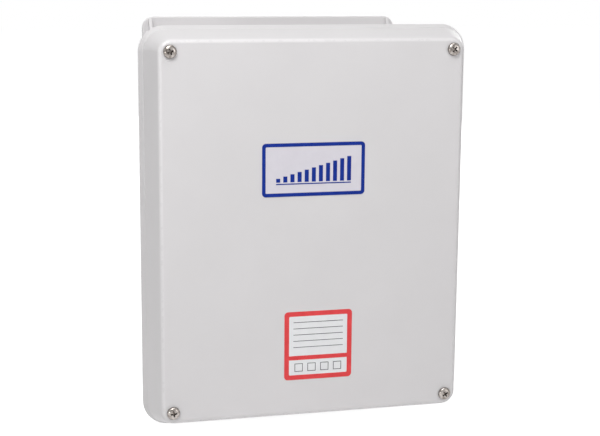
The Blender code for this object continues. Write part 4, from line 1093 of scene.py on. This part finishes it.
def storage_capacitor():
    """A drawn can with a bead, a sunk end disc and two threaded studs."""
    low, high, centre = span("storage_capacitor")
    radius = (high.x - low.x) / 2
    bottom = low.z + STUD_LENGTH - high.z
    rim = radius - CAN_RIM
    groove = bottom + CAN_BEAD
    profile = [(rim, bottom + CAN_SUNK), (rim, bottom), (radius - CAN_RIM / 2, bottom)]
    profile += [(radius, bottom + CAN_RIM / 2), (radius, groove - 2 * CAN_BEAD_DEPTH)]
    profile += [(radius - CAN_BEAD_DEPTH, groove), (radius, groove + 2 * CAN_BEAD_DEPTH)]
    profile += bent((radius, -CAN_EDGE), (radius - CAN_EDGE, 0))
    top = Vector((centre.x, centre.y, high.z))
    piece("can_shell", placed(turned(profile), top, Matrix()), "can_aluminium", "storage_capacitor")
    disc = [(rim - SEAT_GAP, bottom + CAN_SUNK / 2), (rim - SEAT_GAP, bottom + CAN_SUNK + SEAT_GAP)]
    piece("can_end", placed(turned(disc), top, Matrix()), "black_plastic", "storage_capacitor")
    thread = thread_rings(STUD_RADIUS, THREAD_DEPTH, THREAD_PITCH, bottom - STUD_LENGTH, bottom + CAN_SUNK)
    studs = bmesh.new()
    for side in SIDES:
        spot = top + Vector((side * STUD_SPACING / 2, 0, 0))
        loft_into(studs, [[point + spot for point in ring] for ring in thread])
    piece("can_studs", studs, "zinc_plated_steel", "storage_capacitor")


def capacitor_strap():
    """A bent steel band with eased edges: foot, arch over the can, foot."""
    low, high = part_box("capacitor_strap")
    can_low, can_high, centre = span("storage_capacitor")
    inner = (can_high.x - can_low.x) / 2 + SEAT_GAP
    outer = inner + STRAP_THICKNESS
    foot = (high.x - low.x) / 2
    top = high.y - STRAP_THICKNESS
    rise = [pi * step / STRAP_STEPS for step in range(STRAP_STEPS + 1)]
    edge = [(foot, high.y), (foot, top), (outer, top)]
    edge += [(outer * cos(angle), centre.y - outer * sin(angle)) for angle in rise]
    edge += [(-outer, top), (-foot, top), (-foot, high.y), (-inner, high.y)]
    edge += [(inner * cos(angle), centre.y - inner * sin(angle)) for angle in rise[::-1]]
    edge.append((inner, high.y))
    ring = [(centre.x + x, y) for x, y in edge]
    mesh = loft([lying(ring, low.z), lying(ring, high.z)])
    sides = [line for line in mesh.edges if abs(line.verts[0].co.z - line.verts[1].co.z) < SEAT_GAP]
    ease(mesh, sides, STRAP_EDGE, FINE_SEGMENTS)
    strap = plain_object("strap_band", mesh)
    screws = spots_of("strap_screw")
    combine(strap, "DIFFERENCE", columns(screws, FIXING_RADIUS + CLEARANCE, top - OVERCUT, high.y + OVERCUT))
    settle(strap, "zinc_plated_steel", "capacitor_strap")


def board_supports():
    """Nylon posts with barbed noses through the chassis and the board."""
    plate_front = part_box("chassis_plate")[0].y
    board_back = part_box("circuit_board")[1].y
    point = SUPPORT_STEM / 2
    for number, node in enumerate(family("board_support"), 1):
        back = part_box(node)[1].y
        deck = back - plate_front + SEAT_GAP
        under = back - board_back - SEAT_GAP
        over = round_size(node)[1] - SUPPORT_NOSE
        profile = [(point, 0), (SUPPORT_BARB, SUPPORT_NOSE), (SUPPORT_STEM, SUPPORT_NOSE)]
        profile += [(SUPPORT_STEM, deck), (SUPPORT_COLUMN, deck), (SUPPORT_COLUMN, under)]
        profile += [(SUPPORT_STEM, under), (SUPPORT_STEM, over), (SUPPORT_BARB, over)]
        profile.append((point, over + SUPPORT_NOSE))
        piece(f"nylon_post_{number}", stood(profile, node), "white_nylon", node)


def terminal_screws():
    """Slotted clamp screws."""
    for node in family("supply_terminal_screw") + family("output_terminal_screw"):
        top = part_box(node)[0].y
        centre = middle(node)
        radius, length = round_size(node)
        profile = [(radius, 0), (radius, length - RING_EDGE), (radius - RING_EDGE, length)]
        screw = plain_object(f"slotted_{node}", stood(profile, node))
        groove = centred((centre.x, centre.z), (4 * radius, TERMINAL_SLOT_WIDTH))
        combine(screw, "DIFFERENCE", boxes([slab(groove, top - OVERCUT, top + TERMINAL_SLOT_DEPTH)]))
        settle(screw, "zinc_plated_steel", node)


def fuse():
    """A clear tube, two plated caps and a wire."""
    low, high, centre = span("fuse")
    end = (high.x - low.x) / 2
    cap = (high.z - low.z) / 2
    tube = cap - FUSE_CAP
    neck = end - FUSE_CAP_LENGTH
    bore = tube - FUSE_GLASS_WALL
    reach = end - RING_EDGE
    glass = turned([(tube, -reach), (tube, reach), (bore, reach), (bore, -reach)], True)
    piece("fuse_tube", placed(glass, centre, ALONG_X), "fuse_glass", "fuse")
    caps = bmesh.new()
    profile = [(tube, neck), (cap, neck), (cap, reach), (cap - RING_EDGE, end)]
    for side in SIDES:
        loft_into(caps, turned_rings([(radius, side * height) for radius, height in profile]))
    piece("fuse_caps", placed(caps, centre, ALONG_X), "zinc_plated_steel", "fuse")
    wire = turned([(FUSE_WIRE, -reach), (FUSE_WIRE, reach)])
    piece("fuse_wire", placed(wire, centre, ALONG_X), "zinc_plated_steel", "fuse")


def legs(places, height, width, start, end):
    """Square legs along Y, from one depth to another."""
    return [slab(centred((x, height), (width, width)), start, end) for x in places]


def legged_devices():
    """The switching device with its tab, and the rectifier block."""
    low, high, centre = span("thyristor")
    body_end = low.y + DEVICE_LENGTH
    body = [((low.x, body_end - DEVICE_BODY_LENGTH, low.z), (high.x, body_end, high.z - DEVICE_TAB))]
    metal = [((low.x, low.y, high.z - DEVICE_TAB), (high.x, body_end, high.z))]
    places = spaced(centre.x, DEVICE_LEG_PITCH, DEVICE_LEGS)
    metal += legs(places, high.z - DEVICE_BODY / 2, DEVICE_LEG, body_end - OVERCUT, high.y)
    piece("device_body", boxes(body, BLOCK_EDGE), "black_plastic", "thyristor")
    piece("device_metal", boxes(metal, LEG_EDGE), "zinc_plated_steel", "thyristor")
    low, high, centre = span("bridge_rectifier")
    base = low.y + BRIDGE_HEIGHT
    body = [(tuple(low), (high.x, base, high.z))]
    places = spaced(centre.x, BRIDGE_LEG_PITCH, BRIDGE_LEGS)
    metal = legs(places, centre.z, BRIDGE_LEG, base - OVERCUT, high.y)
    piece("bridge_body", boxes(body, BLOCK_EDGE), "black_plastic", "bridge_rectifier")
    piece("bridge_legs", boxes(metal, LEG_EDGE), "zinc_plated_steel", "bridge_rectifier")


def frame_bars(low, high, line):
    """Four bars round a rectangle from its low (x, z) to its high, drawn inside it."""
    (x0, z0), (x1, z1) = low, high
    return [
        ((x0, z0), (x1, z0 + line)),
        ((x0, z1 - line), (x1, z1)),
        ((x0, z0 + line), (x0 + line, z1 - line)),
        ((x1 - line, z0 + line), (x1, z1 - line)),
    ]


def printed(name, bars, depth, thickness, look, body):
    """Bars of print on a face, each a hair thicker than the last."""
    extents = [slab(bar, depth - thickness - number * INK_STEP, depth) for number, bar in enumerate(bars)]
    piece(name, boxes(extents), look, None, body)


def board_print():
    """Outlines round the pieces on the board, and tracks between them."""
    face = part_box("circuit_board")[0].y
    outlines = []
    blocks = ("supply_terminal_block", "output_terminal_block", "fuse_holder")
    for node in (*blocks, "heat_sink", "bridge_rectifier", "charging_resistor"):
        low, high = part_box(node)
        start = (low.x - OUTLINE_MARGIN, low.z - OUTLINE_MARGIN)
        end = (high.x + OUTLINE_MARGIN, high.z + OUTLINE_MARGIN)
        outlines += frame_bars(start, end, OUTLINE_WIDTH)
    printed("board_outlines", outlines, face - INK, INK, "label_white", "housing")
    tracks = []
    half = TRACK_WIDTH / 2
    for first, second in (
        ("supply_terminal_block", "bridge_rectifier"),
        ("fuse_holder", "charging_resistor"),
        ("bridge_rectifier", "heat_sink"),
        ("output_terminal_block", "heat_sink"),
        ("charging_resistor", "heat_sink"),
    ):
        start, end = middle(first), middle(second)
        left, right = sorted((start.x, end.x))
        bottom, top = sorted((start.z, end.z))
        tracks.append(((left - half, start.z - half), (right + half, start.z + half)))
        tracks.append(((end.x - half, bottom - half), (end.x + half, top + half)))
    printed("board_tracks", tracks, face, INK, "board_track", "housing")


def labels():
    """A plate with a plain rising scale in a blue border, and a ruled card in a red one."""
    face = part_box("front_cover")[0].y
    raised = face - LABEL_THICKNESS
    front = raised - PRINT_THICKNESS
    for name, centre, size, border, film, ink in (
        ("name_plate", NAME_CENTRE, NAME_SIZE, NAME_BORDER, "label_film", "label_blue"),
        ("record_card", CARD_CENTRE, CARD_SIZE, CARD_BORDER, "label_white", "label_red"),
    ):
        outer = outline(*size, LABEL_CORNER, centre)
        inner = outline(*resized(size, -border, -border, LABEL_INNER_CORNER), centre)
        piece(name, loft([facing(outer, face), facing(outer, raised)]), film, None, "cover")
        rings = [facing(outer, raised), facing(outer, front), facing(inner, front), facing(inner, raised)]
        piece(f"{name}_border", loft(rings, True), ink, None, "cover")
    x, z = NAME_CENTRE
    base = z + NAME_BASE
    reach = ((NAME_BARS - 1) * NAME_BAR_PITCH + NAME_BAR_WIDTH) / 2
    marks = [((x - reach, base - 2 * NAME_LINE), (x + reach, base - NAME_LINE))]
    for number in range(NAME_BARS):
        left = x - reach + number * NAME_BAR_PITCH
        tall = NAME_BAR_SHORT + (NAME_BAR_TALL - NAME_BAR_SHORT) * number / (NAME_BARS - 1)
        marks.append(((left, base), (left + NAME_BAR_WIDTH, base + tall)))
    x, z = CARD_CENTRE
    band = centred((x, z - CARD_BAND_DROP), (CARD_SIZE[0] - 2 * CARD_BORDER, CARD_BAND))
    rules = []
    for number in range(CARD_RULES):
        height = z + CARD_RULE_TOP - number * CARD_RULE_PITCH
        rules.append(centred((x, height), (CARD_RULE_LENGTH, CARD_RULE)))
    for across in spaced(x, CARD_BOX_PITCH, CARD_BOXES):
        rules += frame_bars(*centred((across, z - CARD_BOX_DROP), CARD_BOX), CARD_RULE)
    for name, bars, ink in (
        ("name_plate_scale", marks, "label_blue"),
        ("record_card_band", [band], "label_red"),
        ("record_card_rules", rules, "label_grey"),
    ):
        printed(name, bars, raised, PRINT_THICKNESS, ink, "cover")


def dress_frame():
    """Gives every node its finish, clean flats and eased edges, and rounds the leads."""
    for name, node in frame["nodes"].items():
        node.data.materials.clear()
        node.data.materials.append(looks[slots[name]])
        modify(node, "weld", "WELD", merge_threshold=WELD_REACH)
        if "_lead_" in name:
            node.data.shade_smooth()
            modify(node, "rounded", "SUBSURF", levels=1, render_levels=1)
            continue
        modify(node, "flat_faces", "DECIMATE", decimate_type="DISSOLVE", angle_limit=FLAT_ANGLE)
        sharp = {"limit_method": "ANGLE", "angle_limit": EASED_ANGLE}
        modify(node, "eased_edges", "BEVEL", width=EASED_EDGE, segments=FINE_SEGMENTS, **sharp)
        modify(node, "weighted_normals", "WEIGHTED_NORMAL", keep_sharp=True)


def camera():
    eye = linked("camera", bpy.data.cameras.new("camera"))
    heading = Matrix.Rotation(CAMERA_AZIMUTH, 4, "Z")
    tilt = Matrix.Rotation(pi / 2 - CAMERA_ELEVATION, 4, "X")
    roll = Matrix.Rotation(CAMERA_ROLL, 4, "Z")
    eye.matrix_world = Matrix.Translation(CAMERA_PLACE) @ heading @ tilt @ roll
    eye.data.sensor_width = CAMERA_SENSOR
    eye.data.lens = CAMERA_LENS
    bpy.context.scene.camera = eye


def lamps():
    for name, place, width, height, power in LAMPS:
        lamp = bpy.data.lights.new(name, "AREA")
        lamp.shape = "RECTANGLE"
        lamp.size = width
        lamp.size_y = height
        lamp.energy = power
        made = linked(name, lamp)
        made.location = place
        made.rotation_euler = (Vector(place) - AIM).to_track_quat("Z", "Y").to_euler()
        made.visible_camera = False


def seen_rays(tree):
    """1 for rays that show the background: from the camera, a mirror or clear glass."""
    rays = outputs_of(tree, "LightPath", {})
    total = rays["Is Camera Ray"]
    for kind in ("Is Glossy Ray", "Is Transmission Ray"):
        total = maths(tree, "MAXIMUM", total, rays[kind])
    return total


def world():
    """White where it is seen, and a weak even light elsewhere."""
    made = bpy.data.worlds.new("studio")
    made.use_nodes = True
    tree = made.node_tree
    background = tree.nodes["Background"]
    feed(tree, background.inputs["Color"], WHITE)
    feed(tree, background.inputs["Strength"], remapped(tree, seen_rays(tree), (0, 1), (AMBIENT, 1)))
    bpy.context.scene.world = made


def floor():
    """A pale floor that glows for the camera but keeps the part's shadow."""
    mesh = bmesh.new()
    bmesh.ops.create_grid(mesh, x_segments=1, y_segments=1, size=FLOOR_SIZE)
    ground = plain_object("floor", mesh)
    ground.location.z = cad_box[0].z - FLOOR_GAP
    made = Finish("floor")
    made.set("Base Color", (FLOOR_COLOUR, FLOOR_COLOUR, FLOOR_COLOUR))
    made.set("Roughness", FLOOR_ROUGHNESS)
    made.set("Specular IOR Level", 0.0)
    made.set("Emission Color", WHITE)
    made.set("Emission Strength", maths(made.tree, "MULTIPLY", seen_rays(made.tree), FLOOR_GLOW))
    ground.data.materials.append(looks["floor"])


make_looks()
dress_frame()
front_cover()
rear_housing()
cover_gasket()
cover_screws()
screw_rings()
fixing_screws()
cable_glands()
core_stack()
winding()
storage_capacitor()
capacitor_strap()
board_supports()
terminal_screws()
fuse()
legged_devices()
board_print()
labels()
camera()
world()
floor()
lamps()
bpy.context.scene.view_settings.view_transform = "Standard"
